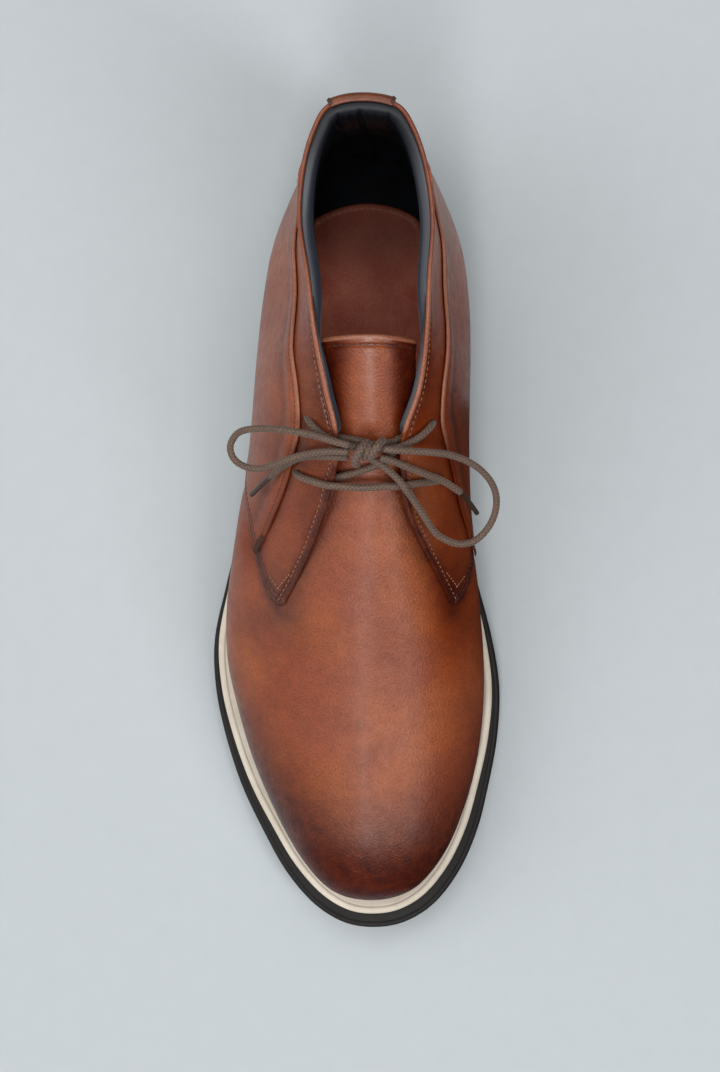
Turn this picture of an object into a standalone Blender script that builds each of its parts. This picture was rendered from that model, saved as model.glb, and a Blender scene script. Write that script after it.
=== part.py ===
"""A right-foot chukka boot: outsole, midsole, insole, one hollow leather upper, tongue and tied lace.

Frame: +Z up, toe towards -Y, +X towards the inner (medial) side of the foot. The origin is on the floor,
at the middle of the outsole's length and width. Tables and named sizes are in millimetres.
"""

import math

import bmesh
import bpy
from mathutils import Matrix, Vector

MM = 0.001
GAP = 0.3  # clearance between pieces that touch


def table(names, *rows):
    """A table's named columns, each a list from heel to toe."""
    return {name: [row[i] for row in rows] for i, name in enumerate(names.split())}


# Sole stack
TOE_END, HEEL_END = -151.0, 151.0
FOREFOOT_THICKNESS = 9.5
HEEL_THICKNESS = 24.0
RAMP_START, RAMP_END = -22.0, 84.0  # the sole's top climbs to the heel between these y
TOE_SPRING = 8.5
TOE_SPRING_START = -76.0
HEEL_BREAST = 77.0
BREAST_DEPTH = 3.0
ARCH_RISE = 12.0
ARCH_END = 2.0
LUG_DEPTH = 2.4
GROOVE_WIDTH = 3.2
GROOVE_SLOPE = 0.7
FOREFOOT_GROOVES = [-119.0 + 13.5 * k for k in range(9)]
HEEL_GROOVES = [92.0 + 12.5 * k for k in range(4)]
CHEVRON = 5.0  # how far a groove's middle runs ahead of its ends
MIDSOLE_THICKNESS = 5.0
MIDSOLE_LEDGE, MIDSOLE_TOE_LEDGE = 1.6, 5.5  # outsole that shows outside the midsole
LEDGE_GROWTH_START = -20.0

# Upper
WALL = 2.2
COLLAR_WALL = 5.2  # leather, foam and lining at the padded collar
COLLAR_PAD_DEPTH = 30.0
LASTING_MARGIN = 7.0  # turned in under the insole
INSOLE_THICKNESS = 3.5
TOE_POLE = Vector((7.0, -106.0, 53.0))  # where the ribs of the toe box meet
TOE_SLOPE = 0.24  # how steeply the ridge falls at the toe pole
THROAT_BASE_ROW = 9.5
ANKLE_STYLE, INSTEP_STYLE = 85.0, 45.0  # the sections change from ankle to instep between these y

TONGUE_THICKNESS = 2.6

# Lace
LACE = 2.5
AGLET = 1.8
KNOT_CENTRE = Vector((9.6, 24.9, 103.7))
KNOT_HALF_SIZE = (5.0, 3.8, 3.4)
LACE_LOOK = ((0.155, 0.107, 0.080), 0.8)  # linear colour and roughness
AGLET_LOOK = ((0.02, 0.012, 0.01), 0.4)

# The outsole's outline
SOLE = table(
    "y lateral medial",
    (151.0, 5.0, 5.0),
    (147.8, -7.6, 17.6),
    (138.5, -18.0, 27.6),
    (124.0, -25.6, 35.6),
    (104.0, -31.4, 40.0),
    (85.0, -34.3, 40.4),
    (64.0, -35.6, 38.8),
    (43.0, -37.4, 37.0),
    (22.0, -40.8, 37.4),
    (1.0, -45.2, 41.4),
    (-20.0, -50.4, 47.0),
    (-41.0, -54.9, 52.4),
    (-60.0, -54.4, 55.2),
    (-79.0, -50.4, 54.3),
    (-98.0, -44.0, 50.8),
    (-115.0, -35.6, 46.4),
    (-130.0, -26.8, 39.6),
    (-142.0, -16.2, 30.2),
    (-149.0, -4.8, 18.9),
    (-151.0, 6.8, 6.8),
)

# The feather line, where the upper meets the midsole
FEATHER = table(
    "y lateral medial",
    (145.4, 5.8, 5.8),
    (143.0, -5.0, 16.6),
    (135.0, -14.4, 26.0),
    (121.5, -21.4, 32.8),
    (104.0, -27.4, 36.4),
    (85.0, -30.6, 36.8),
    (66.0, -31.8, 35.6),
    (47.0, -33.4, 34.0),
    (28.0, -36.0, 34.2),
    (9.0, -39.6, 37.0),
    (-10.0, -43.2, 41.4),
    (-29.0, -46.2, 45.4),
    (-48.0, -46.4, 47.8),
    (-67.0, -42.8, 48.2),
    (-86.0, -37.2, 46.0),
    (-104.0, -29.4, 41.4),
    (-119.5, -21.0, 34.8),
    (-131.0, -12.0, 26.2),
    (-136.3, -3.6, 17.4),
    (-138.0, 7.0, 7.0),
)

# The upper's widest line, its height, and the ridge above it. Behind the instep the ridge only guides
# the sections.
WIDEST = table(
    "y lateral medial z ridge_x ridge_z",
    (147.4, 6.8, 6.8, 49.0, 9.0, 130.0),
    (145.0, -4.6, 18.2, 49.0, 9.0, 130.0),
    (136.5, -13.8, 27.8, 49.0, 9.5, 129.0),
    (122.5, -21.6, 35.2, 49.0, 10.0, 128.0),
    (104.0, -28.6, 41.8, 49.0, 10.0, 126.0),
    (85.0, -32.2, 44.4, 48.0, 10.8, 123.0),
    (66.0, -34.3, 45.0, 47.0, 11.0, 118.0),
    (47.0, -35.9, 44.6, 45.0, 11.2, 110.0),
    (28.0, -38.1, 44.4, 42.0, 10.8, 100.5),
    (9.0, -41.7, 44.9, 38.5, 9.6, 90.5),
    (-10.0, -44.9, 46.6, 35.5, 8.2, 81.5),
    (-29.0, -47.4, 48.2, 33.0, 7.0, 73.5),
    (-48.0, -47.3, 49.5, 31.5, 6.5, 67.0),
    (-67.0, -43.4, 49.4, 30.5, 6.5, 61.8),
    (-86.0, -37.8, 47.0, 30.0, 6.8, 57.6),
    (-104.0, -30.2, 42.3, 30.0, 7.0, 53.4),
    (-120.0, -21.6, 35.6, 31.0, 7.0, 53.0),
    (-132.0, -12.2, 26.6, 32.0, 7.0, 53.0),
    (-137.5, -3.6, 17.6, 32.5, 7.0, 53.0),
    (-139.2, 7.0, 7.0, 32.5, 7.0, 53.0),
)

# The top edge: collar, then the facings, then a guide line over the vamp. Its height and the wall's lean
# in degrees count as far as the instep, where the ridge takes over.
EDGE = table(
    "y lateral medial z lean",
    (144.9, 9.3, 9.3, 128.0, 102.0),
    (142.6, -2.0, 21.4, 127.5, 101.0),
    (135.0, -7.6, 27.4, 125.8, 98.0),
    (121.5, -11.9, 31.9, 122.4, 93.0),
    (104.0, -13.4, 34.0, 118.6, 89.0),
    (85.0, -10.8, 32.8, 116.2, 85.0),
    (66.0, -8.6, 31.6, 114.6, 76.0),
    (47.0, -5.1, 28.6, 108.5, 55.0),
    (28.0, -1.6, 22.4, 99.0, 30.0),
    (9.0, -5.4, 23.6, 90.0, 30.0),
    (-10.0, -12.8, 29.2, 80.0, 30.0),
    (-29.0, -19.0, 34.0, 70.0, 30.0),
    (-48.0, -19.5, 34.0, 60.0, 30.0),
    (-67.0, -18.0, 32.0, 55.0, 30.0),
    (-86.0, -15.0, 29.0, 50.0, 30.0),
    (-104.0, -12.0, 25.0, 45.0, 30.0),
)

# The tongue from under the vamp to its top, and its clearance below the upper's inner face, where the
# lace passes
TONGUE = table(
    "y lateral medial clearance",
    (-9.0, -14.0, 31.0, 0.8),
    (12.0, -12.2, 30.8, 3.6),
    (32.0, -9.4, 30.2, 3.9),
    (48.0, -7.8, 29.4, 3.5),
    (62.0, -7.2, 29.0, 2.6),
)

# Routes along the middle of the lace
BAR_ROUTE = [
    (-16.2, 17.4, 87.9),
    (-10.5, 15.0, 90.8),
    (-5.5, 13.5, 92.4),
    (-0.5, 13.0, 92.6),
    (8.0, 12.5, 91.5),
    (15.5, 13.0, 91.5),
    (20.5, 13.0, 91.2),
    (25.5, 14.0, 89.8),
    (31.5, 15.0, 85.2),
    (34.5, 15.5, 82.0),
]
CROSSING_ROUTES = {
    "lace_crossings": [
        (-11.5, 35.5, 99.4),
        (-8.5, 32.5, 99.8),
        (-5.0, 30.0, 100.6),
        (-0.5, 28.0, 100.8),
        (4.5, 26.5, 99.8),
        (9.5, 26.5, 98.0),
        (15.0, 26.0, 98.2),
        (20.5, 26.5, 98.6),
        (24.5, 28.0, 98.4),
        (28.5, 30.5, 96.9),
        (32.5, 34.5, 94.2),
    ],
    "strand_up": [
        (-3.0, 16.5, 87.8),
        (3.0, 17.5, 90.0),
        (8.5, 19.0, 91.5),
        (12.5, 20.5, 92.3),
        (16.5, 23.0, 92.3),
        (19.5, 26.0, 92.3),
        (21.5, 28.4, 92.2),
    ],
    "strand_across": [
        (-3.2, 31.2, 94.3),
        (-1.0, 30.5, 95.0),
        (4.0, 29.5, 96.0),
        (8.5, 28.5, 96.5),
        (11.5, 27.5, 96.5),
        (15.0, 28.0, 96.0),
        (18.5, 28.6, 94.8),
        (20.6, 29.8, 93.7),
        (22.0, 30.8, 92.8),
    ],
}
CORD_ROUTES = {
    "lace_loop_left": [
        (4.0, 26.5, 105.5),
        (-3.0, 28.5, 104.5),
        (-9.5, 30.5, 103.5),
        (-19.5, 32.5, 101.0),
        (-26.0, 33.2, 98.5),
        (-32.0, 33.3, 96.0),
        (-36.5, 32.3, 93.5),
        (-39.2, 29.6, 91.2),
        (-40.0, 26.5, 89.8),
        (-38.6, 23.0, 89.0),
        (-35.0, 20.5, 89.0),
        (-30.0, 19.5, 90.0),
        (-25.0, 20.5, 92.5),
        (-15.0, 23.5, 97.2),
        (-5.0, 24.8, 101.2),
        (3.5, 24.5, 102.8),
    ],
    "lace_loop_right": [
        (15.4, 25.4, 104.6),
        (20.0, 25.0, 104.2),
        (32.0, 24.4, 101.0),
        (38.0, 23.8, 98.0),
        (43.5, 22.2, 95.0),
        (48.5, 19.5, 91.5),
        (52.5, 15.5, 88.0),
        (54.6, 11.0, 84.5),
        (54.8, 6.0, 81.5),
        (53.2, 1.0, 79.0),
        (50.0, -3.5, 78.0),
        (46.0, -6.4, 78.0),
        (41.0, -7.0, 79.2),
        (36.5, -5.5, 81.2),
        (32.5, -2.5, 83.8),
        (27.0, 6.0, 90.2),
        (23.5, 11.0, 94.4),
        (20.5, 15.0, 96.4),
        (14.6, 20.2, 98.9),
        (10.5, 22.2, 99.2),
    ],
    "lace_end_left": [
        (3.2, 22.8, 99.4),
        (-5.0, 23.3, 97.6),
        (-10.0, 23.6, 95.4),
        (-15.5, 23.0, 92.0),
        (-21.5, 20.5, 86.0),
        (-27.0, 17.0, 80.0),
    ],
    "lace_end_right": [
        (14.1, 22.5, 102.3),
        (18.0, 21.5, 101.0),
        (24.0, 19.3, 97.6),
        (29.5, 17.3, 93.8),
        (36.0, 15.0, 88.8),
        (42.5, 11.0, 83.0),
    ],
}
AGLET_ROUTES = {
    "aglet_left": [(-27.3, 16.7, 79.6), (-34.8, 11.2, 68.5)],
    "aglet_right": [(43.1, 10.4, 82.4), (48.2, 3.6, 76.2)],
}

LAST_ROW = float(len(WIDEST["y"]) - 1)
LAST_EDGE_ROW = float(len(EDGE["y"]) - 1)
SIDES = ("lateral", "medial")
OTHER = {"lateral": "medial", "medial": "lateral"}


def smoothstep(x):
    x = min(1.0, max(0.0, x))
    return x * x * (3 - 2 * x)


def read(columns, name, row, beyond=None):
    """A column at a fractional row, on a smooth curve. Past an end row an outline carries on into its
    other side, whose column is beyond."""
    last = len(columns[name]) - 1
    row = min(max(row, 0.0), float(last))
    low = min(int(row), last - 1)
    t = row - low

    def at(i):
        if 0 <= i <= last:
            return columns[name][i]
        return columns[beyond or name][-i if i < 0 else 2 * last - i]

    before, start, end, after = at(low - 1), at(low), at(low + 1), at(low + 2)
    bend = 2 * before - 5 * start + 4 * end - after
    twist = 3 * start - before - 3 * end + after
    return 0.5 * (2 * start + (end - before) * t + bend * t * t + twist * t**3)


def outline_point(columns, side, row):
    return Vector((read(columns, side, row, OTHER[side]), read(columns, "y", row)))


def outward(columns, side, row):
    """The level direction out of an outline at a row."""
    step = 0.02
    ahead = outline_point(columns, side, row + step)
    behind = outline_point(columns, side, row - step)
    if row < step:
        behind = outline_point(columns, OTHER[side], row + step)
    if row > len(columns["y"]) - 1 - step:
        ahead = outline_point(columns, OTHER[side], row - step)
    along = ahead - behind
    turn = 1 if side == "lateral" else -1
    return Vector((along.y * turn, -along.x * turn, 0.0)).normalized()


def closed_outline(columns, rows, inset=0.0):
    """Points round an outline: heel tip, lateral side, toe tip, medial side. inset is a distance, or a
    function of y that gives one."""
    points = []
    for side, part in (("lateral", rows), ("medial", rows[-2:0:-1])):
        for row in part:
            flat = outline_point(columns, side, row)
            distance = inset(flat.y) if callable(inset) else inset
            points.append(flat - outward(columns, side, row).xy * distance)
    return points


def row_of(columns, y):
    """The fractional row where a table passes y."""
    low, high = 0.0, float(len(columns["y"]) - 1)
    for _ in range(40):
        middle = 0.5 * (low + high)
        low, high = (middle, high) if read(columns, "y", middle) > y else (low, middle)
    return 0.5 * (low + high)


def spaced_rows(end_step, middle_step, heel_rows=3, toe_rows=16):
    """Row samples from heel to toe, closer together round both ends."""
    rows, row = [], 0.0
    while row < LAST_ROW - 1e-6:
        rows.append(round(row, 5))
        at_end = row < heel_rows - 1e-6 or row >= toe_rows - 1e-6
        row += end_step if at_end else middle_step
    return [*rows, LAST_ROW]


def toe_lift(y):
    reach = max(0.0, (TOE_SPRING_START - y) / (TOE_SPRING_START - TOE_END))
    return TOE_SPRING * reach * reach


def sole_top(y):
    """Height of the outsole's top: level under heel and ball, with a ramp between and the toe spring."""
    ramp = smoothstep((y - RAMP_START) / (RAMP_END - RAMP_START))
    return FOREFOOT_THICKNESS + (HEEL_THICKNESS - FOREFOOT_THICKNESS) * ramp + toe_lift(y)


def sole_bottom(y):
    """Height of the tread: flat heel and ball, the arch in front of the heel breast, and the toe spring."""
    if y > HEEL_BREAST:
        return 0.0
    if y > ARCH_END:
        breast = smoothstep((HEEL_BREAST - y) / BREAST_DEPTH)
        return ARCH_RISE * breast * smoothstep((y - ARCH_END) / (HEEL_BREAST - ARCH_END))
    return toe_lift(y)


def midsole_top(y):
    return sole_top(y) + GAP + MIDSOLE_THICKNESS


def midsole_inset(y):
    """How far the midsole stands back from the outsole's edge."""
    growth = max(0.0, (LEDGE_GROWTH_START - y) / (LEDGE_GROWTH_START - TOE_END))
    return MIDSOLE_LEDGE + (MIDSOLE_TOE_LEDGE - MIDSOLE_LEDGE) * growth


def add_face(shape, corners):
    """A face from corners that may repeat, as they do where an outline closes to a point."""
    kept = []
    for corner in corners:
        if corner not in kept:
            kept.append(corner)
    if len(kept) > 2:
        shape.faces.new(kept)


def stacked(rings, bottom_middle=()):
    """A closed solid from rings of points listed bottom to top, with rungs across the first and last ring.
    bottom_middle gives each rung of the bottom a middle point, so that it can bend."""
    solid = bmesh.new()
    loops = [[solid.verts.new(p) for p in ring] for ring in rings]
    count = len(rings[0])
    half = count // 2
    for low, high in zip(loops, loops[1:]):
        for i in range(count):
            j = (i + 1) % count
            add_face(solid, (low[i], low[j], high[j], high[i]))
    bottom, top = loops[0], loops[-1]
    spine = [bottom[0], *[solid.verts.new(p) for p in bottom_middle], bottom[half]]
    for i in range(half):
        add_face(solid, (top[i], top[i + 1], top[-i - 1], top[-i]))
        if bottom_middle:
            add_face(solid, (spine[i], spine[i + 1], bottom[i + 1], bottom[i]))
            add_face(solid, (bottom[-i], bottom[-i - 1], spine[i + 1], spine[i]))
        else:
            add_face(solid, (bottom[-i], bottom[-i - 1], bottom[i + 1], bottom[i]))
    bmesh.ops.recalc_face_normals(solid, faces=solid.faces)
    return solid


def raised(outline, height):
    """A level outline's points at the height that a function of y gives."""
    return [Vector((p.x, p.y, height(p.y))) for p in outline]


def plain_material(name, colour, roughness):
    material = bpy.data.materials.new(name)
    material.use_nodes = True
    shader = material.node_tree.nodes["Principled BSDF"]
    shader.inputs["Base Color"].default_value = (*colour, 1.0)
    shader.inputs["Roughness"].default_value = roughness
    shader.inputs["Metallic"].default_value = 0.0
    return material


def finished(name, shape, colour, roughness):
    """The scene object made from a shape in millimetres, smooth-shaded, with its own plain material."""
    bmesh.ops.triangulate(shape, faces=shape.faces)
    mesh = bpy.data.meshes.new(name)
    shape.to_mesh(mesh)
    shape.free()
    mesh.transform(Matrix.Scale(MM, 4))
    mesh.shade_smooth()
    mesh.set_sharp_from_angle(angle=math.radians(40))
    mesh.materials.append(plain_material(name, colour, roughness))
    made = bpy.data.objects.new(name, mesh)
    bpy.context.scene.collection.objects.link(made)
    return made


def tread_rows():
    """The outsole's rows with, for those inside a groove, a depth of 1. Plain rows make way for groove
    edges."""
    depth_at = {}
    for start in FOREFOOT_GROOVES + HEEL_GROOVES:
        walls = ((0.0, 0), (GROOVE_SLOPE, 1), (GROOVE_WIDTH - GROOVE_SLOPE, 1), (GROOVE_WIDTH, 0))
        for along, depth in walls:
            depth_at[round(row_of(SOLE, start + along), 5)] = depth
    for k in range(4):
        depth_at[round(row_of(SOLE, HEEL_BREAST - BREAST_DEPTH * k / 3), 5)] = 0
    plain = [
        row for row in spaced_rows(1 / 3, 0.5) if all(abs(row - own) > 0.1 for own in depth_at)
    ]
    rows = sorted([*plain, *depth_at])
    return rows, [depth_at.get(row, 0) for row in rows]


def build_outsole():
    rows, depths = tread_rows()
    depths += depths[-2:0:-1]
    tread = [
        Vector((p.x, p.y, sole_bottom(p.y) + LUG_DEPTH * depth))
        for p, depth in zip(closed_outline(SOLE, rows, 1.4), depths)
    ]
    outline = closed_outline(SOLE, rows)
    rings = [
        tread,
        raised(outline, lambda y: sole_bottom(y) + LUG_DEPTH + 1.0),
        raised(closed_outline(SOLE, rows, 0.3), lambda y: sole_top(y) - 1.0),
        raised(closed_outline(SOLE, rows, 1.2), sole_top),
    ]
    half = len(outline) // 2
    middle = []
    for i in range(1, half):
        centre = 0.5 * (tread[i] + tread[-i])
        centre.y -= CHEVRON * min(1.0, 5.0 * i / half, 5.0 * (half - i) / half)
        middle.append(centre)
    return finished("outsole", stacked(rings, middle), (0.018, 0.017, 0.016), 0.6)


def build_midsole():
    """The bone-coloured strip that shows all round between upper and outsole."""
    rows = spaced_rows(1 / 3, 0.5)

    def set_in(extra):
        return closed_outline(SOLE, rows, lambda y: midsole_inset(y) + extra)

    rings = [
        raised(set_in(0.4), lambda y: sole_top(y) + GAP),
        raised(set_in(0.0), lambda y: sole_top(y) + GAP + 1.2),
        raised(set_in(0.0), lambda y: midsole_top(y) - 1.2),
        raised(set_in(0.9), midsole_top),
    ]
    return finished("midsole", stacked(rings), (0.62, 0.55, 0.44), 0.7)


def build_insole():
    """A footbed with a plug that fills the space inside the lasting margin."""
    rows = spaced_rows(1 / 3, 0.5)
    plug = closed_outline(FEATHER, rows, LASTING_MARGIN + 1.0)
    bed = closed_outline(FEATHER, rows, WALL + 0.8)
    over_margin = GAP + WALL + GAP
    rings = [
        raised(plug, lambda y: midsole_top(y) + GAP),
        raised(plug, lambda y: midsole_top(y) + over_margin),
        raised(bed, lambda y: midsole_top(y) + over_margin + 0.2),
        raised(bed, lambda y: midsole_top(y) + over_margin + INSOLE_THICKNESS),
    ]
    return finished("insole", stacked(rings), (0.16, 0.07, 0.045), 0.7)


def bezier(a, b, c, d, t):
    s = 1 - t
    return a * s**3 + b * (3 * s * s * t) + c * (3 * s * t * t) + d * t**3


def widest_point(side, row):
    flat = outline_point(WIDEST, side, row)
    return Vector((flat.x, flat.y, read(WIDEST, "z", row)))


def ridge_point(row):
    """The top of a rib: on the ridge, or at the toe pole, where the ribs fan out round the toe."""
    y = read(WIDEST, "y", row)
    if y <= TOE_POLE.y:
        return TOE_POLE.copy()
    from_pole = smoothstep((y - TOE_POLE.y) / 30.0)
    slope_line = TOE_POLE.z + TOE_SLOPE * (y - TOE_POLE.y)
    z = slope_line + (read(WIDEST, "ridge_z", row) - slope_line) * from_pole
    return Vector((read(WIDEST, "ridge_x", row), y, z))


def instep_rib(side, row, t):
    """A section of toe box, vamp and instep, from the widest line at t 0 up to the ridge at t 1."""
    start, end = widest_point(side, row), ridge_point(row)
    away = Vector((start.x - end.x, start.y - end.y, 0.0))
    width = away.length
    away.normalize()
    away.z = TOE_SLOPE * away.y
    fullness = 0.58 + 0.14 * smoothstep((end.y + 20.0) / 80.0)
    if side == "lateral":
        fullness -= 0.05 * smoothstep((end.y + 106.0) / 60.0)
    lower = start + Vector((0.0, 0.0, 0.42 * (end.z - start.z)))
    return bezier(start, lower, end + away * (fullness * width), end, t)


def share_at(side, row, x):
    """The t at which an instep rib passes x."""
    low, high = 0.0, 1.0
    for _ in range(30):
        middle = 0.5 * (low + high)
        at = instep_rib(side, row, middle).x
        outside = at < x if side == "lateral" else at > x
        low, high = (middle, high) if outside else (low, middle)
    return 0.5 * (low + high)


def edge_share(side, row):
    """The t at which an instep rib reaches the edge line. Round the toe the share at the last edge row
    is kept."""
    row = min(row, LAST_EDGE_ROW)
    return share_at(side, row, outline_point(EDGE, side, row).x)


def ankle_rib(side, row, t):
    """A section of the ankle, from the widest line at t 0 up to the collar at t 1, hollowed above the
    heel."""
    start = widest_point(side, row)
    flat = outline_point(EDGE, side, row)
    end = Vector((flat.x, flat.y, read(EDGE, "z", row)))
    lean = math.radians(read(EDGE, "lean", row))
    down = outward(EDGE, side, row) * math.cos(lean) - Vector((0.0, 0.0, math.sin(lean)))
    rise = end.z - start.z
    lower = start + Vector((0.0, 0.0, 0.24 * rise))
    return bezier(start, lower, end + down * (0.44 * rise), end, t)


def upper_point(side, row, t):
    """The upper's outer face between its widest line at t 0 and its edge line at t 1."""
    ankle = smoothstep((read(WIDEST, "y", row) - INSTEP_STYLE) / (ANKLE_STYLE - INSTEP_STYLE))
    point = Vector((0.0, 0.0, 0.0))
    if ankle > 0:
        point += ankle_rib(side, row, t) * ankle
    if ankle < 1:
        point += instep_rib(side, row, edge_share(side, row) * t) * (1 - ankle)
    return point


def upper_rib(side, row):
    """One rib's outer points, from the lasting margin round the feather line and up to the edge, or on
    to the ridge in front of the throat."""
    wall_steps, edge_steps, vamp_steps = 3, 7, 4
    foot = outline_point(FEATHER, side, row)
    turned = foot - outward(FEATHER, side, row).xy * LASTING_MARGIN
    top = widest_point(side, row)
    base = Vector((foot.x, foot.y, midsole_top(foot.y) + GAP))
    points = [Vector((turned.x, turned.y, midsole_top(turned.y) + GAP)), base]
    for k in range(1, wall_steps):
        share = k / wall_steps
        outwards = math.sin(0.5 * math.pi * share)
        points.append(Vector((*base.xy.lerp(top.xy, outwards), base.z + (top.z - base.z) * share)))
    points += [upper_point(side, row, k / edge_steps) for k in range(edge_steps + 1)]
    if row >= THROAT_BASE_ROW:
        share = edge_share(side, row)
        for k in range(1, vamp_steps + 1):
            points.append(instep_rib(side, row, share + (1 - share) * k / vamp_steps))
    return points


def build_upper():
    """The leather upper: its outer face in ribs, given its wall inwards by a Solidify modifier."""
    rows = sorted({*spaced_rows(1 / 3, 0.5), THROAT_BASE_ROW})
    shell = bmesh.new()
    padding = shell.verts.layers.float.new("padding")
    for side in SIDES:
        before = None
        for row in rows:
            points = upper_rib(side, row)
            behind_throat = smoothstep((points[-1].y - 60.0) / 24.0)
            rib = [shell.verts.new(p) for p in points]
            for vert in rib:
                depth = points[-1].z - vert.co.z
                vert[padding] = behind_throat * smoothstep(1.0 - depth / COLLAR_PAD_DEPTH)
            if before:
                for k in range(min(len(rib), len(before)) - 1):
                    add_face(shell, (before[k], rib[k], rib[k + 1], before[k + 1]))
            before = rib
    bmesh.ops.remove_doubles(shell, verts=shell.verts, dist=0.01)
    bmesh.ops.recalc_face_normals(shell, faces=shell.faces)
    highest = max(shell.faces, key=lambda face: abs(face.normal.z) + 0.01 * face.calc_center_median().z)
    if highest.normal.z < 0:
        bmesh.ops.reverse_faces(shell, faces=shell.faces)
    shares = [(WALL + (COLLAR_WALL - WALL) * vert[padding]) / COLLAR_WALL for vert in shell.verts]
    upper = finished("upper", shell, (0.30, 0.10, 0.04), 0.4)
    group = upper.vertex_groups.new(name="wall")
    for i, share in enumerate(shares):
        group.add([i], share, "REPLACE")
    wall = upper.modifiers.new("wall", "SOLIDIFY")
    wall.thickness = COLLAR_WALL * MM
    wall.offset = -1.0
    wall.vertex_group = group.name
    return upper


def instep_surface(x, y):
    """The point of the closed instep's outer face above (x, y)."""
    row = row_of(WIDEST, y)
    side = "lateral" if x < ridge_point(row).x else "medial"
    return instep_rib(side, row, share_at(side, row, x))


def build_tongue():
    """A curved leaf that starts under the vamp and lies under the facings up to the collar."""
    across, along = 9, 12
    step = 0.5
    leaf = bmesh.new()
    before = None
    for i in range(along + 1):
        row = (len(TONGUE["y"]) - 1) * i / along
        y, left, right, clearance = (read(TONGUE, name, row) for name in TONGUE)
        line = []
        for j in range(across + 1):
            x = left + (right - left) * j / across
            across_way = instep_surface(x + step, y) - instep_surface(x - step, y)
            along_way = instep_surface(x, y + step) - instep_surface(x, y - step)
            normal = across_way.cross(along_way).normalized()
            line.append(leaf.verts.new(instep_surface(x, y) - normal * (WALL + clearance)))
        if before:
            for j in range(across):
                add_face(leaf, (before[j], before[j + 1], line[j + 1], line[j]))
        before = line
    tongue = finished("tongue", leaf, (0.30, 0.10, 0.04), 0.4)
    body = tongue.modifiers.new("body", "SOLIDIFY")
    body.thickness = TONGUE_THICKNESS * MM
    body.offset = -1.0
    return tongue


def smooth_route(points, spacing):
    """Points about spacing apart on a smooth curve through a route's own points."""
    fine_steps = 400
    route = {axis: [point[i] for point in points] for i, axis in enumerate("xyz")}
    rows = [(len(points) - 1) * k / fine_steps for k in range(fine_steps + 1)]
    fine = [Vector([read(route, axis, row) for axis in "xyz"]) for row in rows]
    lengths = [0.0]
    for one, two in zip(fine, fine[1:]):
        lengths.append(lengths[-1] + (two - one).length)
    count = max(1, round(lengths[-1] / spacing))
    spaced = []
    for k in range(count + 1):
        wanted = lengths[-1] * k / count
        nearest = min(range(len(fine)), key=lambda i: abs(lengths[i] - wanted))
        spaced.append(fine[nearest])
    return spaced


def tube(points, radius, sides=8):
    """A closed round tube along points, as a shape in millimetres."""
    shape = bmesh.new()
    forward = (points[1] - points[0]).normalized()
    side = forward.orthogonal().normalized()
    rings = []
    for i, point in enumerate(points):
        ahead = points[min(i + 1, len(points) - 1)] - points[max(i - 1, 0)]
        forward = ahead.normalized()
        side = (side - forward * side.dot(forward)).normalized()
        up = forward.cross(side)
        ring = []
        for k in range(sides):
            angle = 2 * math.pi * k / sides
            spoke = side * math.cos(angle) + up * math.sin(angle)
            ring.append(shape.verts.new(point + spoke * radius))
        rings.append(ring)
    for one, two in zip(rings, rings[1:]):
        for k in range(sides):
            add_face(shape, (one[k], one[(k + 1) % sides], two[(k + 1) % sides], two[k]))
    shape.faces.new(rings[0][::-1])
    shape.faces.new(rings[-1])
    bmesh.ops.recalc_face_normals(shape, faces=shape.faces)
    return shape


def build_lace_crossings():
    """The bar between the lower eyelets, and the strands between the upper ones, joined under the knot."""
    finished("lace_bar", tube(smooth_route(BAR_ROUTE, 4.0), LACE / 2), *LACE_LOOK)
    joined = None
    for name, route in CROSSING_ROUTES.items():
        strand = finished(name, tube(smooth_route(route, 4.0), LACE / 2), *LACE_LOOK)
        if joined is None:
            joined = strand
            continue
        strand.hide_render = True
        strand.display_type = "WIRE"
        join = joined.modifiers.new(name, "BOOLEAN")
        join.operation = "UNION"
        join.solver = "EXACT"
        join.object = strand


def build_lace_bow():
    """The knot, and the loops and ends that leave it, as smooth cords."""
    knot = bmesh.new()
    bmesh.ops.create_uvsphere(knot, u_segments=12, v_segments=8, radius=1.0)
    placed = Matrix.Translation(KNOT_CENTRE) @ Matrix.Diagonal((*KNOT_HALF_SIZE, 1))
    bmesh.ops.transform(knot, matrix=placed, verts=knot.verts)
    finished("lace_knot", knot, *LACE_LOOK)
    for name, route in CORD_ROUTES.items():
        curve = bpy.data.curves.new(name, "CURVE")
        curve.dimensions = "3D"
        points = smooth_route(route, 2 * LACE)
        spline = curve.splines.new("POLY")
        spline.points.add(len(points) - 1)
        for at, point in zip(spline.points, points):
            at.co = (*(point * MM), 1.0)
        spline.use_smooth = True
        curve.bevel_depth = LACE / 2 * MM
        curve.bevel_resolution = 2
        curve.use_fill_caps = True
        curve.materials.append(plain_material(name, *LACE_LOOK))
        bpy.context.scene.collection.objects.link(bpy.data.objects.new(name, curve))
    for name, ends in AGLET_ROUTES.items():
        finished(name, tube([Vector(end) for end in ends], AGLET / 2), *AGLET_LOOK)


def main():
    for old in list(bpy.data.objects):
        bpy.data.objects.remove(old)
    build_outsole()
    build_midsole()
    build_insole()
    build_upper()
    build_tongue()
    build_lace_crossings()
    build_lace_bow()


main()
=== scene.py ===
import math

import bmesh
import bpy
import numpy as np
from mathutils import Matrix, Vector
from mathutils.kdtree import KDTree


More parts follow.
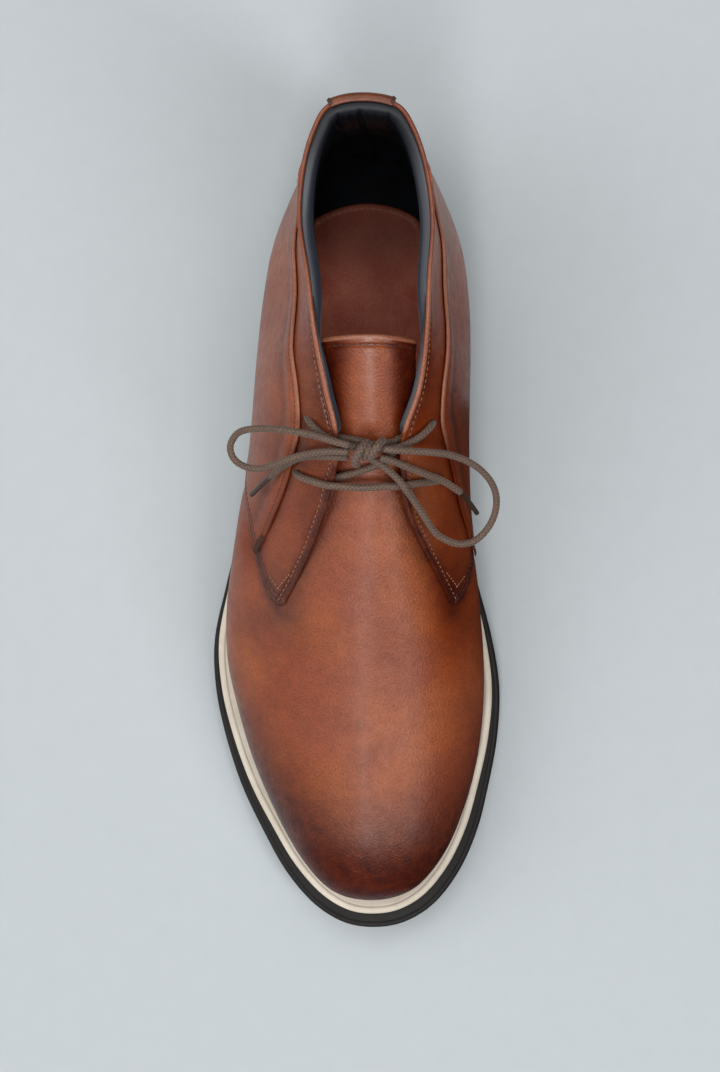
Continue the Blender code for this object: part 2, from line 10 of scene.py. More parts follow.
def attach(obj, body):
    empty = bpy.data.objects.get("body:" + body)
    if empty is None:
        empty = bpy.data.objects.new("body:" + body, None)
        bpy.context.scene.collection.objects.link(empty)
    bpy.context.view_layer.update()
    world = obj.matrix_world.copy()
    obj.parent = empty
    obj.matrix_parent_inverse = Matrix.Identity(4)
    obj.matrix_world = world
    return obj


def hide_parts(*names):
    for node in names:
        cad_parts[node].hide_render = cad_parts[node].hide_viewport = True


# A right-foot chukka boot in burnished calf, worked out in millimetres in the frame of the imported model:
# +Z up, toe towards -Y, +X towards the inner (medial) side.
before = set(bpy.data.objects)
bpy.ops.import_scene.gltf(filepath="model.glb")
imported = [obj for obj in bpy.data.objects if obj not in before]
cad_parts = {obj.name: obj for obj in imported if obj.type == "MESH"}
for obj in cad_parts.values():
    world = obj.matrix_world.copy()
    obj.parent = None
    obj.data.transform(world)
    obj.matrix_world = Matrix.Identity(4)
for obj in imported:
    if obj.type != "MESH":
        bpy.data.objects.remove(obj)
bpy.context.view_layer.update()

MM = 0.001
SIDES = ("lateral", "medial")
OTHER = {"lateral": "medial", "medial": "lateral"}
TURN = {"lateral": 1.0, "medial": -1.0}


def table(names, *rows):
    """A table's named columns, each a list from heel to toe."""
    return {name: [row[i] for row in rows] for i, name in enumerate(names.split())}


# Sole stack
TOE_END = -151.0
GAP = 0.3
FOREFOOT_THICKNESS, HEEL_THICKNESS = 9.5, 24.0
RAMP_START, RAMP_END = -22.0, 84.0
TOE_SPRING, TOE_SPRING_START = 8.5, -76.0
HEEL_BREAST, BREAST_DEPTH = 77.0, 3.0
ARCH_RISE, ARCH_END = 12.0, 2.0
LUG_DEPTH, GROOVE_WIDTH, GROOVE_SLOPE = 2.4, 3.2, 0.7
FOREFOOT_GROOVES = [-119.0 + 13.5 * k for k in range(9)]
HEEL_GROOVES = [92.0 + 12.5 * k for k in range(4)]
CHEVRON = 5.0
MIDSOLE_THICKNESS = 5.0
MIDSOLE_LEDGE, MIDSOLE_TOE_LEDGE, LEDGE_GROWTH_START = 1.6, 5.5, -20.0

# Upper
TOE_POLE = np.array((7.0, -106.0, 53.0))
TOE_SLOPE = 0.24
ANKLE_STYLE, INSTEP_STYLE = 85.0, 45.0

SOLE = table(
    "y lateral medial",
    (151.0, 5.0, 5.0), (147.8, -7.6, 17.6), (138.5, -18.0, 27.6), (124.0, -25.6, 35.6), (104.0, -31.4, 40.0),
    (85.0, -34.3, 40.4), (64.0, -35.6, 38.8), (43.0, -37.4, 37.0), (22.0, -40.8, 37.4), (1.0, -45.2, 41.4),
    (-20.0, -50.4, 47.0), (-41.0, -54.9, 52.4), (-60.0, -54.4, 55.2), (-79.0, -50.4, 54.3), (-98.0, -44.0, 50.8),
    (-115.0, -35.6, 46.4), (-130.0, -26.8, 39.6), (-142.0, -16.2, 30.2), (-149.0, -4.8, 18.9), (-151.0, 6.8, 6.8),
)
FEATHER = table(
    "y lateral medial",
    (145.4, 5.8, 5.8), (143.0, -5.0, 16.6), (135.0, -14.4, 26.0), (121.5, -21.4, 32.8), (104.0, -27.4, 36.4),
    (85.0, -30.6, 36.8), (66.0, -31.8, 35.6), (47.0, -33.4, 34.0), (28.0, -36.0, 34.2), (9.0, -39.6, 37.0),
    (-10.0, -43.2, 41.4), (-29.0, -46.2, 45.4), (-48.0, -46.4, 47.8), (-67.0, -42.8, 48.2), (-86.0, -37.2, 46.0),
    (-104.0, -29.4, 41.4), (-119.5, -21.0, 34.8), (-131.0, -12.0, 26.2), (-136.3, -3.6, 17.4), (-138.0, 7.0, 7.0),
)
WIDEST = table(
    "y lateral medial z ridge_x ridge_z",
    (147.4, 6.8, 6.8, 49.0, 9.0, 130.0), (145.0, -4.6, 18.2, 49.0, 9.0, 130.0),
    (136.5, -13.8, 27.8, 49.0, 9.5, 129.0), (122.5, -21.6, 35.2, 49.0, 10.0, 128.0),
    (104.0, -28.6, 41.8, 49.0, 10.0, 126.0), (85.0, -32.2, 44.4, 48.0, 10.8, 123.0),
    (66.0, -34.3, 45.0, 47.0, 11.0, 118.0), (47.0, -35.9, 44.6, 45.0, 11.2, 110.0),
    (28.0, -38.1, 44.4, 42.0, 10.8, 100.5), (9.0, -41.7, 44.9, 38.5, 9.6, 90.5),
    (-10.0, -44.9, 46.6, 35.5, 8.2, 81.5), (-29.0, -47.4, 48.2, 33.0, 7.0, 73.5),
    (-48.0, -47.3, 49.5, 31.5, 6.5, 67.0), (-67.0, -43.4, 49.4, 30.5, 6.5, 61.8),
    (-86.0, -37.8, 47.0, 30.0, 6.8, 57.6), (-104.0, -30.2, 42.3, 30.0, 7.0, 53.4),
    (-120.0, -21.6, 35.6, 31.0, 7.0, 53.0), (-132.0, -12.2, 26.6, 32.0, 7.0, 53.0),
    (-137.5, -3.6, 17.6, 32.5, 7.0, 53.0), (-139.2, 7.0, 7.0, 32.5, 7.0, 53.0),
)
EDGE = table(
    "y lateral medial z lean",
    (144.9, 9.3, 9.3, 128.0, 102.0), (142.6, -2.0, 21.4, 127.5, 101.0), (135.0, -7.6, 27.4, 125.8, 98.0),
    (121.5, -11.9, 31.9, 122.4, 93.0), (104.0, -13.4, 34.0, 118.6, 89.0), (85.0, -10.8, 32.8, 116.2, 85.0),
    (66.0, -8.6, 31.6, 114.6, 76.0), (47.0, -5.1, 28.6, 108.5, 55.0), (28.0, -1.6, 22.4, 99.0, 30.0),
    (9.0, -5.4, 23.6, 90.0, 30.0), (-10.0, -12.8, 29.2, 80.0, 30.0), (-29.0, -19.0, 34.0, 70.0, 30.0),
    (-48.0, -19.5, 34.0, 60.0, 30.0), (-67.0, -18.0, 32.0, 55.0, 30.0), (-86.0, -15.0, 29.0, 50.0, 30.0),
    (-104.0, -12.0, 25.0, 45.0, 30.0),
)
TONGUE = table(
    "y lateral medial depth",
    (6.0, -14.0, 32.5, 5.6), (12.0, -13.0, 32.0, 5.8), (32.0, -10.5, 31.6, 6.1), (48.0, -9.0, 31.0, 5.7),
    (62.0, -8.6, 30.8, 4.8),
)
LAST_ROW = len(WIDEST["y"]) - 1.0

# Seams on the upper's skin, as (x, y, z), or (x, y) near the top. A lone y is a point on the top edge.
TIPS = {"lateral": (-25.0, -28.6), "medial": (40.2, -27.8)}
FRONT_EDGES = {  # of a facing, from behind the tip up to the collar
    "lateral": [
        (-22.6, -26.6), (-18.9, -20.5), (-13.1, -9.5), (-8.3, 1.4), (-4.9, 11.3), (-2.8, 17.5), (-1.7, 22.1), (28.0,),
        (38.0,), (52.0,), (66.0,), (85.0,), (104.0,), (117.0,),
    ],
    "medial": [
        (38.0, -26.2), (34.7, -19.5), (29.7, -9.3), (25.4, 0.0), (22.9, 11.5), (22.1, 22.5), (28.0,), (38.0,),
        (52.0,), (66.0,), (85.0,), (104.0,), (117.0,),
    ],
}
VAMP_SEAMS = {  # from behind the tip down to the feather line, with the corner of the rear quarter in between
    "lateral": [(-27.2, -27.4, 62.6), (-29.9, -23.6, 61.6), (-33.4, -12.9, 60.8)],
    "medial": [(42.2, -26.0, 52.6), (44.2, -22.2, 49.5), (46.2, -13.3, 42.5)],
}
REAR_VAMP_SEAMS = {
    "lateral": [
        (-35.2, -5.5, 59.8), (-37.0, 3.6, 57.4), (-38.6, 14.4, 51.5), (-38.4, 24.0, 43.0), (-36.3, 34.0, 32.0),
        (-33.8, 44.0, 24.4),
    ],
    "medial": [
        (46.3, -6.0, 38.0), (45.2, 3.0, 33.0), (42.4, 14.0, 27.5), (38.2, 26.0, 22.6),
    ],
}
QUARTER_EDGES = {  # the front edge of the rear quarter, from its corner up to the collar
    "lateral": [
        (-28.8, -1.8, 67.8), (-25.5, 4.5, 72.8), (-21.0, 14.4, 80.6), (-17.4, 25.0, 87.6), (-14.8, 37.2, 94.6),
        (-14.3, 50.9, 99.6), (-16.6, 66.0, 97.5), (-18.4, 85.0, 92.5), (-17.6, 102.0, 97.0), (117.0,),
    ],
    "medial": [
        (42.7, 2.7, 54.0), (40.7, 11.1, 62.0), (38.5, 20.4, 70.8), (36.8, 28.6, 79.0), (35.3, 37.9, 86.6),
        (35.9, 51.9, 91.0), (37.0, 74.7, 91.5), (36.9, 96.0, 93.0), (36.0, 107.0, 102.0), (117.0,),
    ],
}
EYELETS = {
    "lateral": [(-11.3, 35.9), (-16.3, 17.8)],
    "medial": [(32.3, 35.4), (33.8, 15.8)],
}

# Routes along the middle of the lace
LACE, AGLET = 2.5, 1.8
CORD_SIDES, CORD_STEP, PLAIT = 16, 0.36, 1.5
ROUTES = {
    "lace_bar": [
        (-17.5, 20.5, 80.5), (-17.0, 18.5, 84.5), (-14.6, 16.6, 88.3), (-10.5, 15.0, 90.6), (-5.5, 13.5, 92.2),
        (-0.5, 13.0, 92.4), (8.0, 12.5, 91.3), (15.5, 13.0, 91.3), (20.5, 13.0, 91.1), (25.5, 14.0, 89.6),
        (31.5, 14.9, 84.9), (34.3, 15.9, 79.5), (34.0, 17.0, 74.5),
    ],
    "lace_top": [
        (-12.2, 39.0, 91.5), (-11.9, 37.3, 96.0), (-10.2, 34.6, 99.0), (-7.4, 31.7, 100.0), (-4.0, 29.6, 100.6),
        (-0.5, 28.0, 100.8), (4.5, 26.5, 99.8), (9.5, 26.5, 98.0), (15.0, 26.0, 98.0), (20.5, 26.5, 98.2),
        (24.5, 28.0, 97.9), (28.5, 30.5, 96.3), (31.6, 33.9, 93.2), (32.4, 36.2, 88.0), (31.8, 38.0, 83.0),
    ],
    "lace_under": [
        (-12.0, 17.0, 81.5), (-7.5, 16.6, 85.5), (-3.0, 16.5, 87.8), (3.0, 17.5, 90.0), (8.5, 19.0, 91.5),
        (12.5, 20.5, 92.3), (16.5, 23.0, 92.3), (19.5, 26.0, 92.3), (21.5, 28.4, 92.2), (25.5, 32.5, 90.0),
    ],
    "lace_across": [
        (-8.0, 34.0, 91.5), (-3.2, 31.2, 94.3), (-1.0, 30.5, 95.0), (4.0, 29.5, 96.0), (8.5, 28.5, 96.5),
        (11.5, 27.5, 96.5), (15.0, 28.0, 96.0), (18.5, 28.6, 94.8), (20.6, 29.8, 93.7), (25.0, 32.0, 89.8),
    ],
    "lace_loop_left": [
        (4.0, 26.5, 105.5), (-3.0, 28.5, 104.5), (-9.5, 30.5, 103.5), (-19.5, 32.5, 101.0), (-26.0, 33.2, 98.5),
        (-32.0, 33.3, 96.0), (-36.5, 32.3, 93.5), (-39.2, 29.6, 91.2), (-40.0, 26.5, 89.8), (-38.6, 23.0, 89.0),
        (-35.0, 20.5, 89.0), (-30.0, 19.5, 90.0), (-25.0, 20.5, 92.5), (-15.0, 23.5, 97.2), (-5.0, 24.8, 101.2),
        (3.5, 24.5, 102.8),
    ],
    "lace_loop_right": [
        (15.4, 25.4, 104.6), (20.0, 25.0, 104.2), (32.0, 24.4, 101.0), (38.0, 23.8, 98.0), (43.5, 22.2, 95.0),
        (48.5, 19.5, 91.5), (52.5, 15.5, 88.0), (54.6, 11.0, 84.5), (54.8, 6.0, 81.5), (53.2, 1.0, 79.0),
        (50.0, -3.5, 78.0), (46.0, -6.4, 78.0), (41.0, -7.0, 79.2), (36.5, -5.5, 81.2), (32.5, -2.5, 83.8),
        (27.0, 6.0, 90.2), (23.5, 11.0, 94.4), (20.5, 15.0, 96.4), (14.6, 20.2, 98.9), (10.5, 22.2, 99.2),
    ],
    "lace_end_left": [
        (3.2, 22.8, 99.4), (-5.0, 23.3, 97.6), (-10.0, 23.6, 95.4), (-15.5, 23.0, 92.0), (-21.5, 20.5, 86.0),
        (-27.0, 17.0, 80.0),
    ],
    "lace_end_right": [
        (14.1, 22.5, 102.3), (18.0, 21.5, 101.0), (24.0, 19.3, 97.6), (29.5, 17.3, 93.8), (36.0, 15.0, 88.8),
        (42.5, 11.0, 83.0),
    ],
}
AGLET_ROUTES = {
    "aglet_left": [(-26.6, 17.3, 80.4), (-30.6, 14.3, 74.8), (-34.8, 11.2, 68.5)],
    "aglet_right": [(42.0, 11.4, 83.5), (45.3, 7.6, 79.6), (48.2, 3.6, 76.2)],
}
KNOT_WRAPS = [  # bands of lace round the knot, from behind it over the top to the front, each with its radius
    (1.42, [
        (9.8, 27.9, 101.2), (9.6, 27.6, 103.4), (8.5, 26.2, 105.4), (7.1, 24.2, 106.0), (5.9, 22.0, 105.0),
        (5.6, 20.4, 102.8), (6.6, 20.4, 100.4),
    ]),
    (1.25, [
        (11.9, 27.2, 101.4), (11.5, 26.8, 103.6), (10.6, 25.5, 104.9), (9.7, 23.9, 104.9), (9.1, 22.6, 103.6),
        (9.1, 22.2, 101.4),
    ]),
    (1.40, [
        (15.3, 28.2, 100.8), (15.1, 28.3, 103.3), (14.2, 27.1, 105.7), (12.9, 25.3, 106.5), (11.7, 23.6, 105.8),
        (11.0, 22.4, 103.9), (11.4, 22.4, 101.4),
    ]),
]


# ---------------------------------------------------------------- camera

EYE = Vector((0.063, -0.0413, 1.020))
AIM = Vector((0.001, -0.001, 0.0))
LENS = 88.0

camera = bpy.data.objects.new("camera", bpy.data.cameras.new("camera"))
bpy.context.scene.collection.objects.link(camera)
camera.data.lens = LENS
camera.data.sensor_width = 36.0
camera.data.clip_start = 0.01
back = (EYE - AIM).normalized()
right = Vector((0, 1, 0)).cross(back).normalized()
turned = Matrix((right, back.cross(right), back)).transposed().to_4x4()
camera.matrix_world = Matrix.Translation(EYE) @ turned
bpy.context.scene.camera = camera


# ---------------------------------------------------------------- lines and meshes

def unit(vectors):
    return vectors / np.maximum(np.linalg.norm(vectors, axis=-1, keepdims=True), 1e-12)


def smoothstep(x):
    x = np.clip(x, 0.0, 1.0)
    return x * x * (3 - 2 * x)


def hump(distance, width):
    return np.exp(-((distance / width) ** 2))


def smooth_curve(points):
    """Many points on a smooth curve through given ones, in any number of dimensions."""
    points = np.asarray(points, float)
    beyond = np.vstack([2 * points[0] - points[1], points, 2 * points[-1] - points[-2]])
    t = np.linspace(0, 1, 30, endpoint=False)[:, None]
    pieces = []
    for a, b, c, d in zip(beyond, beyond[1:], beyond[2:], beyond[3:]):
        pieces.append(0.5 * (2 * b + (c - a) * t + (2 * a - 5 * b + 4 * c - d) * t**2 + (3 * b - a - 3 * c + d) * t**3))
    return np.vstack([*pieces, points[-1:]])


def lengths_along(line):
    return np.concatenate([[0.0], np.cumsum(np.linalg.norm(np.diff(line, axis=0), axis=1))])


def evenly(line, count, values=None):
    """Values, or the line's own points, at evenly spaced places along a line."""
    values = line if values is None else values
    along = lengths_along(line)
    places = np.linspace(0, along[-1], count)
    return np.column_stack([np.interp(places, along, column) for column in values.T])


def smooth_route(points, spacing):
    line = smooth_curve(points)
    return evenly(line, max(2, round(lengths_along(line)[-1] / spacing) + 1))


def distance_to(points, line):
    """The distance from each point to a line of closely spaced points."""
    tree = KDTree(len(line))
    for i, point in enumerate(line):
        tree.insert(point, i)
    tree.balance()
    flat = points.reshape(-1, 3)
    return np.array([tree.find(point)[2] for point in flat]).reshape(points.shape[:-1])


def row_lengths(grid):
    """How far each point of a grid lies along its row."""
    steps = np.linalg.norm(np.diff(grid, axis=1), axis=-1)
    return np.concatenate([np.zeros((len(grid), 1)), np.cumsum(steps, axis=1)], 1)


def interp_rows(places, columns, values):
    return np.array([np.interp(*row) for row in zip(places, columns, values)])


def round_line(turn, one, two):
    """Directions at some turns round each point of a line, from one towards two."""
    return np.cos(turn)[None, :, None] * one[:, None] + np.sin(turn)[None, :, None] * two[:, None]


def arc(share, least=0.0):
    """A quarter circle's height, from least at share 0 up to 1 at share 1."""
    return np.sqrt(np.clip(1 - (1 - share) ** 2, least, 1))


def grid_faces(rows, columns, around=False, keep=None):
    """Quads of a grid of points listed row by row; around joins the last column to the first."""
    i, j = np.meshgrid(np.arange(rows - 1), np.arange(columns if around else columns - 1), indexing="ij")
    after = (j + 1) % columns
    quads = np.stack([i * columns + j, i * columns + after, (i + 1) * columns + after, (i + 1) * columns + j], -1)
    return quads[keep] if keep is not None else quads.reshape(-1, 4)


def tube_faces(count, size, caps=(True, True)):
    """The faces of a tube of closed rings, with its first and last rings filled in."""
    faces = grid_faces(count, size, around=True).tolist()
    if caps[0]:
        faces.append(list(range(size))[::-1])
    if caps[1]:
        faces.append(list(range((count - 1) * size, count * size)))
    return faces


def add_object(name, data):
    made = bpy.data.objects.new(name, data)
    bpy.context.scene.collection.objects.link(made)
    return made


def make_piece(name, points, faces, material, marks=None, merge=0.0):
    """A smooth-shaded object at the origin, from points in millimetres. marks are numbers stored at its points."""
    mesh = bpy.data.meshes.new(name)
    mesh.from_pydata((np.asarray(points, float).reshape(-1, 3) * MM).tolist(), [], [list(face) for face in faces])
    for mark, values in (marks or {}).items():
        mesh.attributes.new(mark, "FLOAT", "POINT").data.foreach_set("value", np.ravel(values).astype(np.float32))
    shape = bmesh.new()
    shape.from_mesh(mesh)
    if merge:
        bmesh.ops.remove_doubles(shape, verts=shape.verts, dist=merge * MM)
    bmesh.ops.recalc_face_normals(shape, faces=shape.faces)
    shape.to_mesh(mesh)
    shape.free()
    mesh.shade_smooth()
    mesh.materials.append(material)
    return add_object(name, mesh)


def swept_piece(name, loops, material, marks=None):
    """A closed piece from closed cross-sections, each an equal number of points."""
    return make_piece(name, loops, tube_faces(*loops.shape[:2]), material, marks)


def carried_frames(line):
    """Directions along, beside and over a line, turning as little as they can."""
    along = unit(np.gradient(line, axis=0))
    beside = np.empty_like(along)
    start = np.cross(along[0], (0.0, 0.0, 1.0))
    beside[0] = unit(start if np.linalg.norm(start) > 0.1 else np.cross(along[0], (0.0, 1.0, 0.0)))
    for i in range(1, len(line)):
        side = beside[i - 1] - along[i] * np.dot(beside[i - 1], along[i])
        beside[i] = unit(side)
    return along, beside, np.cross(beside, along)


def braided_tube(line, radius):
    """Rings of a braided cord along a line, with the height of its plaits. Both ends round off."""
    _, beside, over = carried_frames(line)
    along = lengths_along(line)
    turn = 2 * math.pi * np.arange(CORD_SIDES) / CORD_SIDES
    plait = np.cos(4 * turn)[None, :] * np.cos(2 * math.pi * along / PLAIT)[:, None]
    plait = plait + 0.35 * np.cos(8 * turn + 1.0)[None, :]
    to_end = np.minimum(along, along[-1] - along)
    rounding = arc(np.clip(to_end / (0.8 * radius), 0, 1), 0.02)
    reach = radius * rounding[:, None] * (0.985 + 0.06 * plait)
    around = round_line(turn, beside, over)
    return line[:, None] + around * reach[..., None], plait


# ---------------------------------------------------------------- materials

def colour(hex_code):
    """A linear colour from an sRGB hex code."""
    parts = [int(hex_code[i:i + 2], 16) / 255 for i in (1, 3, 5)]
    return tuple(p / 12.92 if p <= 0.04045 else ((p + 0.055) / 1.055) ** 2.4 for p in parts) + (1.0,)


def set_inputs(tree, node, **inputs):
    """Each input is a value or a socket to link, named by the node's socket or by its number."""
    for name, value in inputs.items():
        socket = node.inputs[int(name[1:])] if name[1:].isdigit() else node.inputs[name.replace("_", " ")]
        if isinstance(value, bpy.types.NodeSocket):
            tree.links.new(value, socket)
        else:
            socket.default_value = value


def add_node(tree, kind, settings=None, **inputs):
    made = tree.nodes.new(kind)
    for name, value in (settings or {}).items():
        setattr(made, name, value)
    set_inputs(tree, made, **inputs)
    return made


def new_material(name):
    material = bpy.data.materials.new(name)
    material.use_nodes = True
    tree = material.node_tree
    place = add_node(tree, "ShaderNodeTexCoord").outputs["Object"]
    return material, tree, tree.nodes["Principled BSDF"], place


def mix_colour(tree, share, one, two):
    return add_node(tree, "ShaderNodeMix", {"data_type": "RGBA"}, i0=share, i6=one, i7=two).outputs[2]


def combine(tree, operation, one, two, clamp=False):
    return add_node(tree, "ShaderNodeMath", {"operation": operation, "use_clamp": clamp}, i0=one, i1=two).outputs[0]


def noise(tree, place, size, detail, roughness):
    """Soft noise whose features are about size millimetres across."""
    return add_node(tree, "ShaderNodeTexNoise", None, Vector=place, Scale=1 / (size * MM), Detail=detail,
                    Roughness=roughness).outputs[0]


def spread_to(tree, value, low, high, to_low=0.0, to_high=1.0):
    return add_node(tree, "ShaderNodeMapRange", None, i0=value, i1=low, i2=high, i3=to_low, i4=to_high).outputs[0]


def mark_value(tree, name):
    return add_node(tree, "ShaderNodeAttribute", {"attribute_name": name}).outputs["Fac"]


def bumps(tree, *layers):
    """A normal from layers of height, depth in millimetres and strength, the lowest layer first."""
    normal = None
    for height, depth, strength in layers:
        made = add_node(tree, "ShaderNodeBump", None, Strength=strength, Distance=depth * MM, Height=height)
        if normal:
            tree.links.new(normal, made.inputs["Normal"])
        normal = made.outputs[0]
    return normal


def two_tones(tree, value, low, high, one, two):
    return mix_colour(tree, spread_to(tree, value, low, high), colour(one), colour(two))


def stained(tree, tone, value, low, high, share, stain):
    """A tone covered up to a share by a stain where a value is high."""
    return mix_colour(tree, spread_to(tree, value, low, high, 0.0, share), tone, colour(stain))


def marked(tree, tone, mark, stain):
    """A tone covered by a stain where the piece is marked."""
    return mix_colour(tree, mark_value(tree, mark), tone, colour(stain))


def calf_leather(name, roughness, coat):
    """Cognac calf, hand burnished: aniline dye over a tight grain, darker where it was polished and where shade is
    painted in, then waxed.
    """
    material, tree, shader, place = new_material(name)
    cloud = noise(tree, place, 30.0, 2.0, 0.5)
    drift = noise(tree, place, 17.0, 3.0, 0.6)
    mottle = noise(tree, place, 4.5, 4.0, 0.65)
    grain = noise(tree, place, 0.75, 2.0, 0.6)
    tone = two_tones(tree, cloud, 0.40, 0.62, "#8a4124", "#9a4e26")
    # Warm deep tone, which also lowers specular and coat: the dye's own in places, and painted shade with a painted
    # warm reflection on the medial side and the tongue's sides.
    tone = marked(tree, tone, "warmth", "#85350a")
    tone = stained(tree, tone, drift, 0.44, 0.74, 0.26, "#5f2616")
    tone = stained(tree, tone, mottle, 0.42, 0.75, 0.22, "#4a1d10")
    burnt_and_shaded = mark_value(tree, "burnish")
    uneven = combine(tree, "MULTIPLY", combine(tree, "SUBTRACT", mottle, 0.5), 0.9)
    burnt_and_shaded = combine(tree, "ADD", burnt_and_shaded, combine(tree, "MULTIPLY", uneven, burnt_and_shaded), True)
    # The dark burnished tone also paints shade: on the medial side, on the tongue's sides, on the vamp beside the
    # facings and on the facings beside the quarters.
    tone = mix_colour(tree, burnt_and_shaded, tone, colour("#3a0f09"))
    # The light rim tone: the binding's and the tongue's top edges, and a painted highlight along the quarters' front
    # edges.
    tone = marked(tree, tone, "rim", "#9a6048")
    tone = stained(tree, tone, grain, 0.42, 0.72, 0.36, "#2a0f08")
    pores = add_node(tree, "ShaderNodeTexVoronoi", {"feature": "F1"}, Vector=place, Scale=1 / (0.9 * MM)).outputs[0]
    soft = noise(tree, place, 9.0, 2.0, 0.5)
    pebble = noise(tree, place, 1.7, 3.0, 0.6)
    polished = combine(tree, "MULTIPLY", mark_value(tree, "burnish"), -0.05)
    warm_and_shaded = mark_value(tree, "warmth")
    set_inputs(
        tree, shader, Base_Color=tone, IOR=1.45, Specular_Tint=colour("#fff0ea"), Coat_Roughness=0.26,
        Normal=bumps(tree, (soft, 0.30, 0.35), (pebble, 0.16, 0.45), (grain, 0.26, 0.90), (pores, 0.08, 0.50)),
        Roughness=combine(tree, "ADD", spread_to(tree, mottle, 0.3, 0.7, roughness - 0.05, roughness + 0.08), polished),
        Specular_IOR_Level=spread_to(tree, warm_and_shaded, 0.0, 1.0, 0.50, 0.16),
        Coat_Weight=spread_to(tree, warm_and_shaded, 0.0, 1.0, coat, 0.02))
    return material


def sock_leather():
    """Vegetable-tanned sock leather: matte, bare grain, a little rubbed."""
    material, tree, shader, place = new_material("sock_leather_matte")
    rubbed_and_highlight = noise(tree, place, 14.0, 4.0, 0.6)
    grain = noise(tree, place, 0.8, 2.0, 0.6)
    # Tones set light to paint the light that reaches the sock's front under the tongue.
    tone = two_tones(tree, rubbed_and_highlight, 0.35, 0.7, "#c25d47", "#dc7e64")
    tone = marked(tree, tone, "rim", "#8a4a34")
    # Painted shade towards the heel.
    tone = marked(tree, tone, "worn", "#3f170f")
    tone = stained(tree, tone, grain, 0.4, 0.7, 0.25, "#3c1a13")
    set_inputs(tree, shader, Base_Color=tone, Normal=bumps(tree, (grain, 0.12, 0.5)), Roughness=0.62,
               Specular_IOR_Level=0.3)
    return material


def lining_leather():
    """Black-blue lining leather over foam: fine even grain, a cool sheen where the light grazes it, and painted light
    on the collar's roll.
    """
    material, tree, shader, place = new_material("lining_leather_navy")
    grain = noise(tree, place, 0.7, 2.0, 0.6)
    cloud = noise(tree, place, 12.0, 3.0, 0.5)
    # The rim tone paints light on top of the padded roll; sheen and specular follow the same mark.
    tone = marked(tree, two_tones(tree, cloud, 0.35, 0.7, "#08090b", "#101216"), "rim", "#282c34")
    set_inputs(
        tree, shader, Base_Color=tone, Roughness=0.42, Sheen_Roughness=0.4, Sheen_Tint=colour("#b4c0d2"),
        Normal=bumps(tree, (cloud, 0.5, 0.3), (grain, 0.08, 0.35)),
        Sheen_Weight=combine(tree, "MULTIPLY", mark_value(tree, "rim"), 0.55),
        Specular_IOR_Level=spread_to(tree, mark_value(tree, "rim"), 0.0, 1.0, 0.12, 0.6))
    return material


def moulded(name, light, shade, roughness, speck, shine=0.5):
    """Moulded rubber: even colour with a fine eggshell surface from the mould."""
    material, tree, shader, place = new_material(name)
    cloud = noise(tree, place, 9.0, 4.0, 0.6)
    shell = noise(tree, place, speck, 2.0, 0.7)
    tone = marked(tree, two_tones(tree, cloud, 0.35, 0.7, light, shade), "dirt", "#4d4034")
    set_inputs(tree, shader, Base_Color=tone, Normal=bumps(tree, (shell, 0.08, 0.4)), Roughness=roughness,
               Specular_IOR_Level=shine)
    return material


def waxed_cord():
    """Waxed cotton braid: fine plaits, dull, with painted shade in the plaits' hollows and painted light on their
    crowns.
    """
    material, tree, shader, place = new_material("lace_waxed_cotton")
    fibre = noise(tree, place, 0.5, 3.0, 0.7)
    cloud = noise(tree, place, 7.0, 2.0, 0.5)
    height = spread_to(tree, mark_value(tree, "plait"), -1.0, 1.2)
    # Colour by plait height: painted shade in the hollows, painted light on the crowns.
    tone = mix_colour(tree, height, colour("#170e0a"), colour("#7a5e4c"))
    tone = stained(tree, tone, cloud, 0.4, 0.7, 0.30, "#3f2e26")
    tone = stained(tree, tone, fibre, 0.45, 0.7, 0.30, "#9d8474")
    set_inputs(tree, shader, Base_Color=tone, Normal=bumps(tree, (height, 0.12, 0.8), (fibre, 0.08, 0.5)),
               Roughness=0.68, Sheen_Weight=0.15)
    return material


def plain_finish(name, tone, roughness, size):
    """A small part's even colour, with a light texture."""
    material, tree, shader, place = new_material(name)
    texture = noise(tree, place, size, 2.0, 0.6)
    set_inputs(tree, shader, Base_Color=stained(tree, colour(tone), texture, 0.3, 0.7, 0.3, "#0a0706"),
               Normal=bumps(tree, (texture, 0.03, 0.5)), Roughness=roughness)
    return material


CALF = calf_leather("calf_cognac_burnished", 0.37, 0.10)
CALF_POLISHED = calf_leather("calf_cognac_polished", 0.33, 0.85)
SOCK = sock_leather()
LINING = lining_leather()
WELT = moulded("welt_rubber_bone", "#dfd4c4", "#d0c3b0", 0.55, 0.5)
RUBBER = moulded("outsole_rubber_charcoal", "#1e1b1a", "#161413", 0.62, 0.7, 0.28)
CORD = waxed_cord()
THREAD_LIGHT = plain_finish("thread_tan", "#a3714f", 0.7, 0.4)
THREAD_SOCK = plain_finish("thread_chestnut", "#a8623f", 0.7, 0.4)
THREAD_DARK = plain_finish("thread_brown", "#472a1e", 0.7, 0.4)
FLOOR = moulded("floor_painted_pale", "#b9bfc2", "#b7bdc0", 0.95, 900.0)
AGLET_FILM = plain_finish("aglet_film_brown", "#33231b", 0.32, 1.5)


# ---------------------------------------------------------------- lace

def finish_piece(piece, slot_name, *replaced):
    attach(piece, "root")
    if replaced:
        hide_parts(*replaced)
    return piece


def lace_piece(name, route):
    line = smooth_route(route, CORD_STEP)
    loops, plait = braided_tube(line, LACE / 2)
    return swept_piece(name, loops, CORD, {"plait": plait}), line


